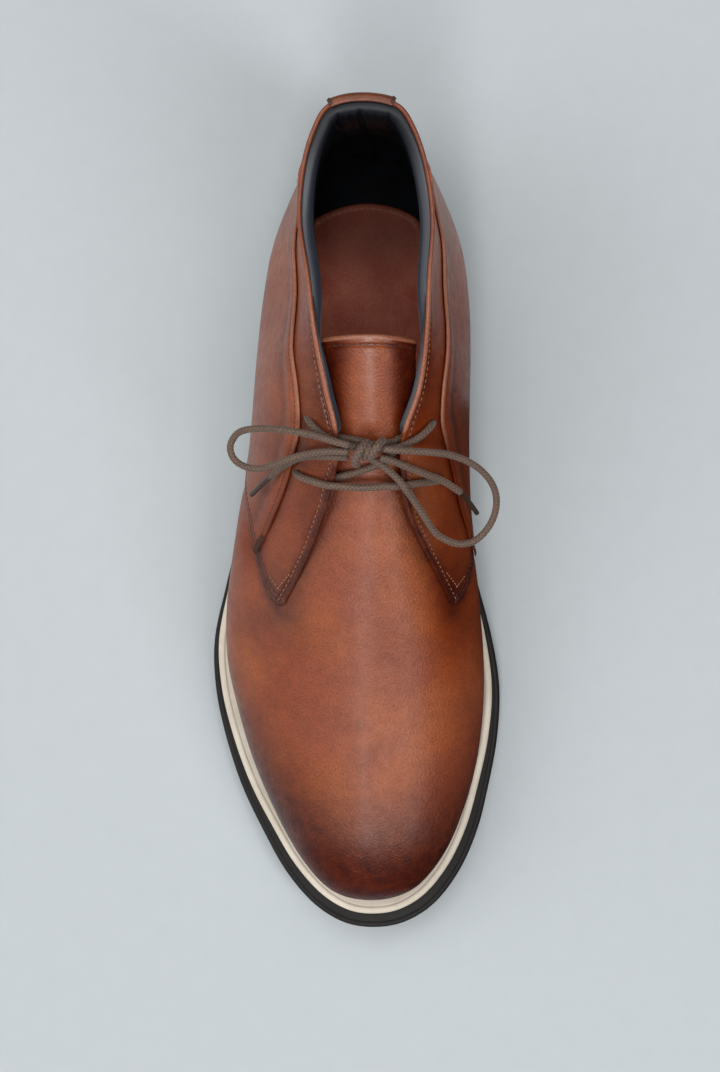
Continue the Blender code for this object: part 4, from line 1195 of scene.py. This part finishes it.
def build_vamp():
    """The vamp and toe, one piece under the facings, whose middle dips to meet the tongue."""
    rows = np.concatenate([np.linspace(row_of(WIDEST, 52.0), 15.6, 190), np.linspace(15.6, LAST_ROW, 76)[1:]])
    below = np.linspace(-1, 0, 16)[:-1]
    above = np.linspace(0, 1, 72)
    grids, flats, keeps, gaps = [], [], [], []
    for side in SIDES:
        low = skin(side, rows[:, None], below[None, :])
        high = instep_rib(side, *np.broadcast_arrays(rows[:, None], above[None, :]))
        grid = np.concatenate([low, high], axis=1)
        to_rim = np.interp(rows, RIM_ROWS, RIM_SHARES[side])[:, None]
        share = np.concatenate([np.broadcast_to(below, (len(rows), len(below))), above[None, :] / to_rim], 1)
        across = np.gradient(grid, axis=1, edge_order=2)
        along = np.gradient(grid, axis=0)
        normal = unit(np.cross(across, along)) * -TURN[side]
        length = row_lengths(grid)
        seam_rows = np.vstack([TIP_SEAM[side][2:], REAR_SEAM[side]])
        at_seam = interp_rows(t_at(rows, seam_rows), share, length)
        at_front = interp_rows(t_at(rows, FRONT[side][4:]), share, length)
        grids.append(grid)
        flats.append(normal)
        by_seam = distance_to(grid, SEAM_LINES["rear"][side]) < 7.0
        keeps.append((grid[..., 1] < 13.5) | (length < at_seam[:, None] + 6.0) | by_seam)
        gaps.append((length - at_front[:, None], np.minimum(length - at_seam[:, None], at_front[:, None] - length)))
    on_ridge = unit(flats[0][:, -1] + flats[1][:, -1])
    for flat in flats:
        flat[:, -1] = on_ridge
    points, marks_burnish_and_shade, marks_warmth_and_shade, faces = [], [], [], []
    start = 0
    for side, grid, normal, keep, (inside, covered) in zip(SIDES, grids, flats, keeps, gaps):
        y = grid[..., 1]
        down = np.clip((y + 44.0) / 57.0, 0, 1)
        middle_dip = 5.8 * down**2 * (1.6 - 0.6 * down)
        within = smoothstep((inside + 9.0) / 9.0)
        edges = np.minimum(distance_to(grid, SEAM_LINES["tip"][side]), distance_to(grid, SEAM_LINES["rear"][side]))
        fronts = distance_to(grid, SEAM_LINES["front"][side])
        near = 1.2 * hump(np.minimum(edges, fronts), 7.0)
        under = 2.0 * smoothstep((covered + 0.5) / 2.5) * smoothstep((y - TIPS[side][1] - 0.5) / 3.0)
        trough = 0.40 * np.exp(-(((grid[..., 0] - 12.0) / 4.5) ** 2) - ((y + 84.0) / 24.0) ** 2)
        offset = -np.maximum(np.maximum(near, under), middle_dip * within) - trough
        # Painted shade on the vamp beside the facing and quarter edges that lie over it, widest beside the facings'
        # front edges.
        stain = np.maximum(edge_stain_and_shade(np.minimum(edges, fronts), 3.6, 0.62), edge_stain_and_shade(fronts, 6.0, 0.55))
        points.append((grid + normal * offset[..., None]).reshape(-1, 3))
        marks_burnish_and_shade.append(np.clip(toe_burnish_and_shade(grid) + stain, 0, 0.95).ravel())
        marks_warmth_and_shade.append(warmth_and_medial_shade(grid).ravel())
        cells = keep[:-1, :-1] & keep[1:, :-1] & keep[:-1, 1:] & keep[1:, 1:]
        part = grid_faces(*grid.shape[:2], keep=cells) + start
        faces += (part if side == "lateral" else part[:, ::-1]).tolist()
        start += grid.shape[0] * grid.shape[1]
    marks = {"burnish": joined(marks_burnish_and_shade), "warmth": joined(marks_warmth_and_shade), "rim": np.zeros(start)}
    piece = make_piece("vamp", np.vstack(points), faces, CALF, marks, merge=0.01)
    mesh = bmesh.new()
    mesh.from_mesh(piece.data)
    bmesh.ops.delete(mesh, geom=[v for v in mesh.verts if not v.link_faces], context="VERTS")
    up = sum(face.normal.z for face in mesh.faces)
    if up < 0:
        bmesh.ops.reverse_faces(mesh, faces=mesh.faces)
    mesh.to_mesh(piece.data)
    mesh.free()
    wall = piece.modifiers.new("wall", "SOLIDIFY")
    wall.thickness = LEATHER * MM
    wall.offset = -1.0
    return applied(piece)


def instep_at(x, y):
    """Outer points and normals of the closed instep above (x, y)."""
    def surface(x, y):
        row = row_of(WIDEST, y)
        lateral = x < ridge_point(row)[..., 0]
        both = [instep_rib(side, row, share_at(side, row, x)) for side in SIDES]
        return np.where(lateral[..., None], *both)
    step = 0.5
    across = surface(x + step, y) - surface(x - step, y)
    along = surface(x, y + step) - surface(x, y - step)
    return surface(x, y), unit(np.cross(across, along))


def build_tongue():
    """The tongue, from under the lower lace up to its folded top edge."""
    rows, columns = 130, 90
    row = np.linspace(0, len(TONGUE["y"]) - 1, rows)
    y, left, right, depth = (read(TONGUE, name, row) for name in TONGUE)
    share = clustered(columns)
    x = left[:, None] + (right - left)[:, None] * share[None, :]
    place, normal = instep_at(x, np.broadcast_to(y[:, None], x.shape))
    top = TONGUE["y"][-1] - y[:, None] + 0 * x
    outer = -depth[:, None] + 0 * x
    outer = outer + 0.35 * smoothstep((3.4 - top) / 1.0) * (top < 6) + pressed(top, TONGUE_ROW)
    edges = np.minimum(x - left[:, None], right[:, None] - x)
    # Painted shade on the tongue's sides, where the facings shade them: darker and warmer, with less sheen.
    sides = 1 - smoothstep((edges - 4.0) / 11.0)
    burnish = 0.90 * sides + 0.25 * smoothstep((24 - y[:, None]) / 12) + 0.10 * smoothstep((y[:, None] - 50) / 12)
    burnish = np.clip(burnish + 0.45 * hump(top - TONGUE_ROW, 0.5), 0, 0.9)
    marks = {"burnish": burnish.T, "warmth": (0.1 + 0.9 * sides).T, "rim": 0.85 * smoothstep((0.55 - top) / 0.3).T}
    piece, face = leaf("tongue_leaf", np.swapaxes(place, 0, 1), np.swapaxes(normal, 0, 1), outer.T, TONGUE_LEATHER,
                       CALF_POLISHED, marks)
    seam = face[:, int(np.argmin(np.abs(top[:, 0] - TONGUE_ROW)))]
    lie = np.swapaxes(normal, 0, 1)[:, -1]
    sew(seam[3:-3], lie[3:-3], 2.4, THREAD_DARK)
    return piece


def below_rim(side, rows, distances):
    """The t at each distance below the top edge, row by row."""
    t = np.linspace(1, -1, 361)
    grid = skin(side, rows[:, None], t[None, :])
    depth = row_lengths(grid)
    distances = np.broadcast_to(distances, (len(rows), np.shape(distances)[-1]))
    return interp_rows(distances, depth, np.broadcast_to(t, depth.shape)), depth[:, -1]


def shell_points(parts, section):
    """Loops of points round the collar. section gives, for a part's rows, distances below the edge and heights."""
    loops = []
    for side, rows in parts:
        distance, height = section(side, rows)
        t, _ = below_rim(side, rows, np.maximum(distance, 0.0))
        grid = np.broadcast_to(rows[:, None], t.shape)
        place, normal = skin(side, grid, t), skin_normal(side, grid, t)
        rim, lower = rim_line(side, rows), skin(side, rows, np.full(len(rows), 0.985))
        upwards = unit(rim - lower)[:, None]
        loops.append(place + normal * height[..., None] + upwards * np.maximum(-distance, 0.0)[..., None])
    return joined(loops)


def build_lining():
    """The padded collar and the lining below it, in one piece down to the footbed."""
    roll = 3.2 * (1 - np.cos(np.linspace(0, 0.5 * math.pi, 14)))

    def section(side, rows):
        _, full = below_rim(side, rows, np.zeros(1))
        rim = rim_line(side, rows)
        padded = smoothstep((rim[:, 1] - 50.0) / 30.0)[:, None]
        bulge = 2.2 * (1 - padded) * smoothstep((rim[:, 1:2] - 29.0) / 5.0)
        edge = roll[None, :] - bulge * np.linspace(1, 0, 14)[None, :] ** 0.7
        wall = 3.2 + (full[:, None] - 4.5 - 3.2) * (np.linspace(0, 1, 70)[1:] ** 1.4)[None, :]
        inner = np.concatenate([edge, wall], 1)
        thick = 1.5 + 3.6 * arc(np.minimum(inner, 3.2) / 3.2)
        thick = thick + 0.5 * hump(inner - 8.0, 4.0) - 2.9 * smoothstep((inner - 13.0) / 21.0)
        thin = 1.3 + 0.9 * arc(np.minimum(inner, 2.0) / 2.0)
        depth = thin + (thick - thin) * padded + 2.2 * smoothstep((inner - full[:, None] + 16.0) / 10.0)
        place = skin(side, rows[:, None], below_rim(side, rows, inner)[0])
        heel = smoothstep((place[..., 1] - 118.0) / 4.0)
        for at in (-0.3, 8.6, 20.1):
            depth = depth - 0.9 * heel * hump(place[..., 0] - at, 0.7) * smoothstep((inner - 0.5) / 2.0)
        puckers = np.sin(1.9 * place[..., 0] + 1.4 * np.sin(0.4 * inner) + 0.6)
        puckers = puckers * smoothstep((inner - 1.0) / 3.0) * np.exp(-inner / 12.0)
        depth = depth + 0.38 * smoothstep((place[..., 1] - 135.0) / 7.0) * puckers
        depth = depth + 0.45 * bulge * hump(inner, 2.0)
        outer = np.linspace(1, 0.01, 12)[None, :] * inner[:, -1:]
        deeper = 1.3 * smoothstep((60.0 - rim[:, 1:2]) / 8.0) * smoothstep((outer - 8.0) / 8.0)
        return np.concatenate([inner, outer], 1), np.concatenate([-depth, -0.75 - deeper], 1)

    loops = shell_points(round_heel(29.0, 190), section)
    depth = joined([section(side, rows)[0] for side, rows in round_heel(29.0, 190)])
    # The rim mark paints light on the roll's top, fading into painted shade deeper in and round the heel.
    piece = swept_piece("collar_lining", loops, LINING, {
        "rim": (1 - smoothstep((depth - 0.4) / 3.6)) * (1 - 0.72 * smoothstep((loops[..., 1] - 114.0) / 20.0))})
    return piece


def build_binding():
    """The folded edge that covers the top of leather and lining all the way round."""
    turn = np.linspace(0, 2 * math.pi, 19)[:-1]
    parts = round_heel(27.0, 260)

    def section(side, rows):
        rim = rim_line(side, rows)
        taper = smoothstep((rim[:, 1] - 27.0) / 7.0)[:, None]
        height = (-0.55 + 0.82 * taper * np.cos(turn)[None, :]) - 0.9 * (1 - taper)
        return -0.05 - 1.0 * taper * np.sin(turn)[None, :], height

    loops = shell_points(parts, section)
    y = loops[..., 1]
    front = smoothstep((104.0 - y) / 40.0)
    marks = {"rim": 0.15 + 0.65 * front, "burnish": 0.42 * (1 - front), "warmth": 0 * y}
    return swept_piece("collar_binding", loops, CALF, marks)


def build_heel_tab():
    """The strap folded over the collar at the heel."""
    half = 11.6
    outer = [(38, 1.0), (34, 1.15), (28, 1.25), (20, 1.3), (12, 1.35), (6, 1.45), (2, 1.6), (0.2, 1.65), (-1.4, 1.15),
             (-2.2, 0.0), (-2.1, -1.2), (-1.6, -2.1)]
    inner = [(-0.9, -2.1), (-1.0, -1.2), (-1.0, -0.3), (-0.4, 0.3), (1, 0.35), (4, 0.2), (12, 0.15), (20, 0.12),
             (28, 0.1), (38, -0.1)]
    ring = np.vstack([smooth_curve(outer)[::4], smooth_curve(inner)[::6]])
    parts = []
    for side in SIDES:
        rows = np.linspace(2.4, 0, 400)
        along = lengths_along(rim_line(side, rows[::-1]))
        parts.append(one_way(side, np.interp(np.linspace(half, 0, 26), along, rows[::-1])))

    def section(side, rows):
        edge = 1 - 0.30 * (np.abs(rows - rows.max()) < 0.02)[:, None]
        height = np.where(ring[:, 1] > 0.5, ring[:, 1] * edge, ring[:, 1])
        return np.broadcast_to(ring[:, 0], height.shape), height

    loops = shell_points(parts, section)
    count = loops.shape[0]
    side_distance = np.minimum(np.arange(count), count - 1 - np.arange(count)) * (2 * half / (count - 1))
    burnish = np.broadcast_to((0.62 + 0.25 * hump(side_distance, 1.2))[:, None], loops.shape[:2])
    piece = swept_piece("heel_tab", loops, CALF, {"burnish": burnish, "warmth": 0 * burnish, "rim": 0.1 + 0 * burnish})
    down = smooth_curve(outer)[::4]
    lie = unit(np.gradient(loops[:, :len(down)], axis=1))
    across = unit(np.gradient(loops[:, :len(down)], axis=0))
    facing = unit(np.cross(lie, across))
    flip = np.sign(np.median(facing[count // 2, 4:20, 1]))
    for column in (2, count - 3):
        here = slice(2, len(down) - 12)
        sew(loops[column, here] + facing[column, here] * flip * 0.05, facing[column, here] * flip, 2.4, THREAD_DARK)
    for column in (1, count - 2):
        here = slice(len(down) - 26, len(down) - 6)
        sew(loops[column, here], facing[column, here] * flip, 0.8, THREAD_DARK, 1.6, 0.4, math.pi / 2)
    return piece


def flat_outline(columns, inset, count):
    """Points round a table's outline, set in by a distance or by a function of y, and its two sides' counts."""
    points = []
    for side in SIDES:
        fine = np.linspace(0, len(columns["y"]) - 1.0, 1200)
        line = outline(columns, side, fine)
        rows = evenly(line, count, fine[:, None])[:, 0]
        flat = outline(columns, side, rows)
        distance = inset(flat[:, 1]) if callable(inset) else np.full(count, float(inset))
        flat = flat - level_outward(columns, side, rows)[:, :2] * distance[:, None]
        points.append(flat if side == "lateral" else flat[::-1][1:-1])
    return np.vstack(points)


def ring_stack(name, rings, material, count, marks=None, bottom=None):
    """A closed piece from rings listed bottom to top, with rungs across the last one and the first."""
    size = len(rings[0])
    faces = grid_faces(len(rings), size, around=True).tolist()
    top = (len(rings) - 1) * size
    for i in range(count - 1):
        for first, used in ((top, True), (0, bottom is None)):
            if used:
                corners = [first + i, first + i + 1, first + (size - i - 1) % size, first + (size - i) % size]
                faces.append(list(dict.fromkeys(corners)))
    points = np.vstack(rings)
    if bottom is not None:
        faces += (bottom[1] + len(points)).tolist()
        points = np.vstack([points, bottom[0]])
    return make_piece(name, points, [f for f in faces if len(f) > 2], material, marks, merge=0.002)


def above_midsole(flat, up):
    return np.column_stack([flat, midsole_top(flat[:, 1]) + up])


SOCK_PROFILE = [  # inset, height above the midsole and how far the rim's tone shows
    (0.0, 6.0, 1), (-0.1, 6.6, 1), (0.0, 7.2, 1), (0.5, 7.5, 0.5), (1.2, 7.62, 0.2), (2.2, 7.6, 0), (2.6, 7.45, 0),
    (3.0, 7.6, 0),
]


def sock_outline(count):
    """The sock's outline from the middle of its rear arc, round the lateral side, and back."""
    y = np.linspace(24.0, 114.0, 200)
    left, right = (outline(FEATHER, side, row_of(FEATHER, y)) + np.array((6.0 * TURN[side], 0.0)) for side in SIDES)
    x = np.linspace(left[-1, 0], right[-1, 0], 120)[1:-1]
    rear = np.column_stack([x, 123.6 - 4.2 * ((x - 6.0) / 18.0) ** 2])
    loop = np.vstack([left, rear, right[::-1]])
    loop = evenly(np.vstack([loop, loop[:1]]), 2 * count - 1)[:-1]
    for _ in range(26):
        loop = (np.roll(loop, 1, 0) + 2 * loop + np.roll(loop, -1, 0)) / 4
    middle = loop[:, 0].mean()
    drawn = smoothstep((loop[:, 1] - 40.0) / 60.0)
    loop[:, 0] = middle + (loop[:, 0] - middle) * (1 - 0.08 * drawn)
    loop = np.roll(loop, -int(np.argmax(loop[:, 1])), axis=0)
    loop = loop[::-1] if loop[5, 0] > loop[0, 0] else loop
    front = int(np.argmin(loop[:, 1] + 0.02 * np.abs(loop[:, 0] - 6.0)))
    sides = [evenly(loop[:front + 1], count), evenly(np.vstack([loop[front:], loop[:1]]), count)]
    return np.vstack([sides[0], sides[1][1:-1]])


def inset_loop(loop, distance):
    """A closed level loop moved inwards."""
    along = unit(np.roll(loop, -1, 0) - np.roll(loop, 1, 0))
    inward = np.column_stack([-along[:, 1], along[:, 0]])
    centre = loop.mean(0)
    inward = inward * np.sign(np.median(np.sum(inward * (centre - loop), -1)))
    return loop + inward * distance


def build_insole():
    """The footbed, near-black in the lining leather as painted shade deep in the boot, with a sock of leather glued on,
    stitched round its rear arc.
    """
    count = 180
    profile = [(3.2, 2.8), (3.0, 3.4), (3.0, 5.7), (3.6, 6.3)]
    rings = [above_midsole(flat_outline(FEATHER, inset, count), up) for inset, up in profile]
    bed = ring_stack("footbed", rings, LINING, count)

    loop = sock_outline(count)
    rings, rims = [], []
    for inset, up, rim in SOCK_PROFILE:
        ring = inset_loop(loop, inset)
        rings.append(above_midsole(ring, up))
        rims.append(np.full(len(ring), rim))
    # Painted shade towards the heel, where the collar shades the sock.
    worn = [0.72 * smoothstep((ring[:, 1] - 84.0) / 28.0) for ring in rings]
    sock = ring_stack("sock", rings, SOCK, count, {"rim": np.concatenate(rims), "worn": np.concatenate(worn)})
    line = np.roll(above_midsole(inset_loop(loop, SOCK_ROW), 7.68), count, axis=0)
    line = line[line[:, 1] > 40]
    sew(line, np.broadcast_to((0.0, 0.0, 1.0), line.shape), 2.2, THREAD_SOCK, 1.5, 0.5)
    return bed, sock


def build_welt():
    """The bone strip between outsole and upper, with a fine groove round its top face."""
    count = 240
    profile = [(0.9, 0.0), (0.3, 0.25), (0.05, 0.8), (0.0, 1.6), (0.0, 2.9), (0.06, 3.6), (0.28, 4.2), (0.65, 4.62),
               (1.1, 4.85), (1.7, 4.97), (2.3, 5.0), (2.5, 4.86), (2.66, 4.82), (2.82, 4.86), (3.02, 5.0), (3.4, 5.02),
               (5.0, 5.04), (9.0, 5.04)]
    rings, dirt = [], []
    for inset, up in profile:
        flat = flat_outline(SOLE, lambda y: midsole_inset(y) + inset, count)
        rings.append(np.column_stack([flat, sole_top(flat[:, 1]) + GAP + up]))
        # Darker in the groove and a little on the inner band next to the upper.
        dirt.append(np.full(len(flat), 0.45 if 2.45 < inset < 2.9 else 0.12 * (inset > 2.9)))
    return ring_stack("welt", rings, WELT, count, {"dirt": joined(dirt)})


def groove_depth(y):
    """How deep the tread is cut at each y, from 0 to 1."""
    depth = np.zeros_like(y)
    for start in FOREFOOT_GROOVES + HEEL_GROOVES:
        inside = np.minimum(y - start, start + GROOVE_WIDTH - y)
        depth = np.maximum(depth, smoothstep(inside / GROOVE_SLOPE))
    return depth


def build_outsole():
    """The rubber outsole: rounded edges, a line moulded round its wall and chevron grooves in the tread."""
    count = 300
    from_tread = [(1.4, 0.0), (0.7, 0.25), (0.25, 0.9), (0.0, 3.4)]
    from_top = [(0.0, -5.2), (0.25, -4.9), (0.25, -4.4), (0.0, -4.1), (0.0, -1.5), (0.2, -0.7), (0.6, -0.2), (1.2, 0.0),
                (1.9, 0.0), (2.1, -0.18), (2.4, -0.18), (2.6, 0.0), (8.0, 0.0)]
    rings = []
    for k, (inset, up) in enumerate(from_tread + from_top):
        flat = flat_outline(SOLE, inset, count)
        floor = sole_bottom(flat[:, 1])
        height = floor + up if k < len(from_tread) else np.maximum(sole_top(flat[:, 1]) + up, floor + 3.5)
        rings.append(np.column_stack([flat, height]))
    edge = rings[0]
    left, right = edge[:count], np.vstack([edge[:1], edge[:count - 1:-1], edge[count - 1:count]])
    share = np.linspace(0, 1, 41)[None, :, None]
    bed = left[:, None] * (1 - share) + right[:, None] * share
    inside = np.minimum(1.0, 5 * np.minimum(share[..., 0], 1 - share[..., 0]))
    bed[..., 2] = sole_bottom(bed[..., 1]) + LUG_DEPTH * groove_depth(bed[..., 1] + CHEVRON * inside) * (inside > 0)
    bottom = bed.reshape(-1, 3), grid_faces(*bed.shape[:2])[:, ::-1]
    return ring_stack("outsole_moulded", rings, RUBBER, count, bottom=bottom)


def stitch_tree():
    """Geometry nodes that lay one stitch at each pitch along a line, facing along the line's 'lie'."""
    tree = bpy.data.node_groups.new("lay_stitches", "GeometryNodeTree")
    sizes = dict.fromkeys(("Pitch", "Length", "Width", "Turn"), "Float")
    for name, kind in {"Line": "Geometry", **sizes, "Thread": "Material"}.items():
        tree.interface.new_socket(name, in_out="INPUT", socket_type="NodeSocket" + kind)
    tree.interface.new_socket("Stitches", in_out="OUTPUT", socket_type="NodeSocketGeometry")

    def node(kind, settings=None, **inputs):
        return add_node(tree, kind, settings, **inputs).outputs

    given = tree.nodes.new("NodeGroupInput").outputs
    curve = node("GeometryNodeMeshToCurve", Mesh=given["Line"])[0]
    spaced = node("GeometryNodeResampleCurve", {"mode": "LENGTH"}, Curve=curve, Length=given["Pitch"])[0]
    lie = node("GeometryNodeInputNamedAttribute", {"data_type": "FLOAT_VECTOR"}, Name="lie")[0]
    tangent = node("GeometryNodeInputTangent")[0]
    axes = {"primary_axis": "Z", "secondary_axis": "X"}
    turn = node("FunctionNodeAxesToRotation", axes, i0=lie, i1=tangent)[0]
    euler = node("ShaderNodeCombineXYZ", Z=given["Turn"])[0]
    own = node("FunctionNodeEulerToRotation", i0=euler)[0]
    turn = node("FunctionNodeRotateRotation", {"rotation_space": "LOCAL"}, i0=turn, i1=own)[0]
    ball = node("GeometryNodeMeshUVSphere", Segments=8, Rings=6, Radius=0.5)[0]
    scale = node("ShaderNodeCombineXYZ", X=given["Length"], Y=given["Width"], Z=given["Width"])[0]
    thread = node("GeometryNodeTransform", Geometry=ball, Scale=scale)[0]
    wobble = node("FunctionNodeRandomValue", {"data_type": "FLOAT"}, i2=0.92, i3=1.06, Seed=11)[1]
    laid = node("GeometryNodeInstanceOnPoints", Points=spaced, Instance=thread, Rotation=turn, Scale=wobble)[0]
    real = node("GeometryNodeRealizeInstances", Geometry=laid)[0]
    final = node("GeometryNodeSetMaterial", Geometry=real, Material=given["Thread"])[0]
    set_inputs(tree, tree.nodes.new("NodeGroupOutput"), i0=final)
    return tree


def stitched(tree, lines, pitch, thread, length, width, turned):
    """A plain mesh of the stitches along some lines."""
    points = np.vstack([line for line, _ in lines]) * MM
    edges, start = [], 0
    for line, _ in lines:
        edges += [(start + i, start + i + 1) for i in range(len(line) - 1)]
        start += len(line)
    mesh = bpy.data.meshes.new("seam_lines")
    mesh.from_pydata(points.tolist(), edges, [])
    lie = np.vstack([lie for _, lie in lines]).astype(np.float32)
    mesh.attributes.new("lie", "FLOAT_VECTOR", "POINT").data.foreach_set("vector", lie.ravel())
    guide = add_object("seam_lines", mesh)
    sewing = guide.modifiers.new("sewing", "NODES")
    sewing.node_group = tree
    values = {"Pitch": pitch * MM, "Length": length * MM, "Width": width * MM, "Turn": turned, "Thread": thread}
    for socket in tree.interface.items_tree:
        if socket.in_out == "INPUT" and socket.name in values:
            sewing[socket.identifier] = values[socket.name]
    made = bpy.data.meshes.new_from_object(guide.evaluated_get(bpy.context.evaluated_depsgraph_get()))
    bpy.data.objects.remove(guide)
    return made


def build_stitches():
    """Every sewn line's stitches, in one piece for each thread."""
    tree = stitch_tree()
    groups = {}
    for points, normals, pitch, thread, *sizes in SEWN:
        kind = (thread.name, *[round(x, 3) for x in (pitch, *sizes)])
        groups.setdefault(kind, []).append((points, normals))
    threads = {}
    for (thread, pitch, length, width, turned), lines in groups.items():
        mesh = stitched(tree, lines, pitch, bpy.data.materials[thread], length, width, turned)
        threads.setdefault(thread, []).append(mesh)
    for thread, meshes in threads.items():
        merged = bmesh.new()
        for mesh in meshes:
            merged.from_mesh(mesh)
        whole = bpy.data.meshes.new(f"stitches_{thread}")
        merged.to_mesh(whole)
        merged.free()
        whole.shade_smooth()
        whole.materials.clear()
        whole.materials.append(bpy.data.materials[thread])
        finish_piece(add_object(f"stitches_{thread}", whole), "upper_leather")


finish_piece(build_vamp(), "upper_leather", "upper")
for side in SIDES:
    finish_piece(build_facing(side), "upper_leather")
    tack_corner(side)
finish_piece(build_quarters(), "upper_leather")
for build in (build_lining, build_binding, build_heel_tab):
    finish_piece(build(), "upper_leather")
finish_piece(build_tongue(), "tongue_leather", "tongue")
footbed, sock = build_insole()
finish_piece(footbed, "insole_leather", "insole")
finish_piece(sock, "insole_leather")
finish_piece(build_welt(), "welt_strip", "midsole")
finish_piece(build_outsole(), "outsole_rubber", "outsole")
build_stitches()


# ---------------------------------------------------------------- studio

def area_light(name, place, aim, size, power):
    light = bpy.data.lights.new(name, "AREA")
    light.shape = "RECTANGLE"
    light.size, light.size_y = size
    light.energy = power
    lamp = add_object(name, light)
    lamp.location = place
    lamp.rotation_euler = (Vector(place) - Vector(aim)).to_track_quat("Z", "Y").to_euler()


def lay_floor(name, left, right, front, rear):
    mesh = bpy.data.meshes.new(name)
    mesh.from_pydata([(left, front, 0), (right, front, 0), (right, rear, 0), (left, rear, 0)], [], [(0, 1, 2, 3)])
    mesh.materials.append(FLOOR)
    part = add_object(name, mesh)
    return part


lay_floor("floor_left", -4.0, 0.03, -4.0, 4.0)
lay_floor("floor_rear_right", 0.03, 4.0, 0.05, 4.0)
lay_floor("floor_front_right", 0.03, 4.0, -4.0, 0.05).visible_glossy = False  # keeps the medial side deep in tone

world = bpy.context.scene.world or bpy.data.worlds.new("world")
bpy.context.scene.world = world
world.use_nodes = True
world.node_tree.nodes["Background"].inputs["Color"].default_value = colour("#dfe6ec")
world.node_tree.nodes["Background"].inputs["Strength"].default_value = 0.05
area_light("ceiling", (-1.1, 0.0, 2.6), (-1.1, 0.0, 0.0), (4.6, 5.0), 65.0)
area_light("left_wall", (-2.7, -0.2, 1.3), (0.0, -0.2, 0.2), (2.4, 5.0), 38.0)
area_light("ridge_strip", (-0.10, -1.6, 2.8), (0.0, 0.0, 0.0), (0.5, 1.9), 30.0)
area_light("right_strip", (1.6, -1.2, 2.5), (0.0, 0.0, 0.0), (0.7, 2.2), 34.0)
area_light("rear_soft", (0.0, 1.3, 2.9), (0.0, 0.0, 0.0), (2.6, 1.4), 18.0)
bpy.context.scene.view_settings.view_transform = "Standard"
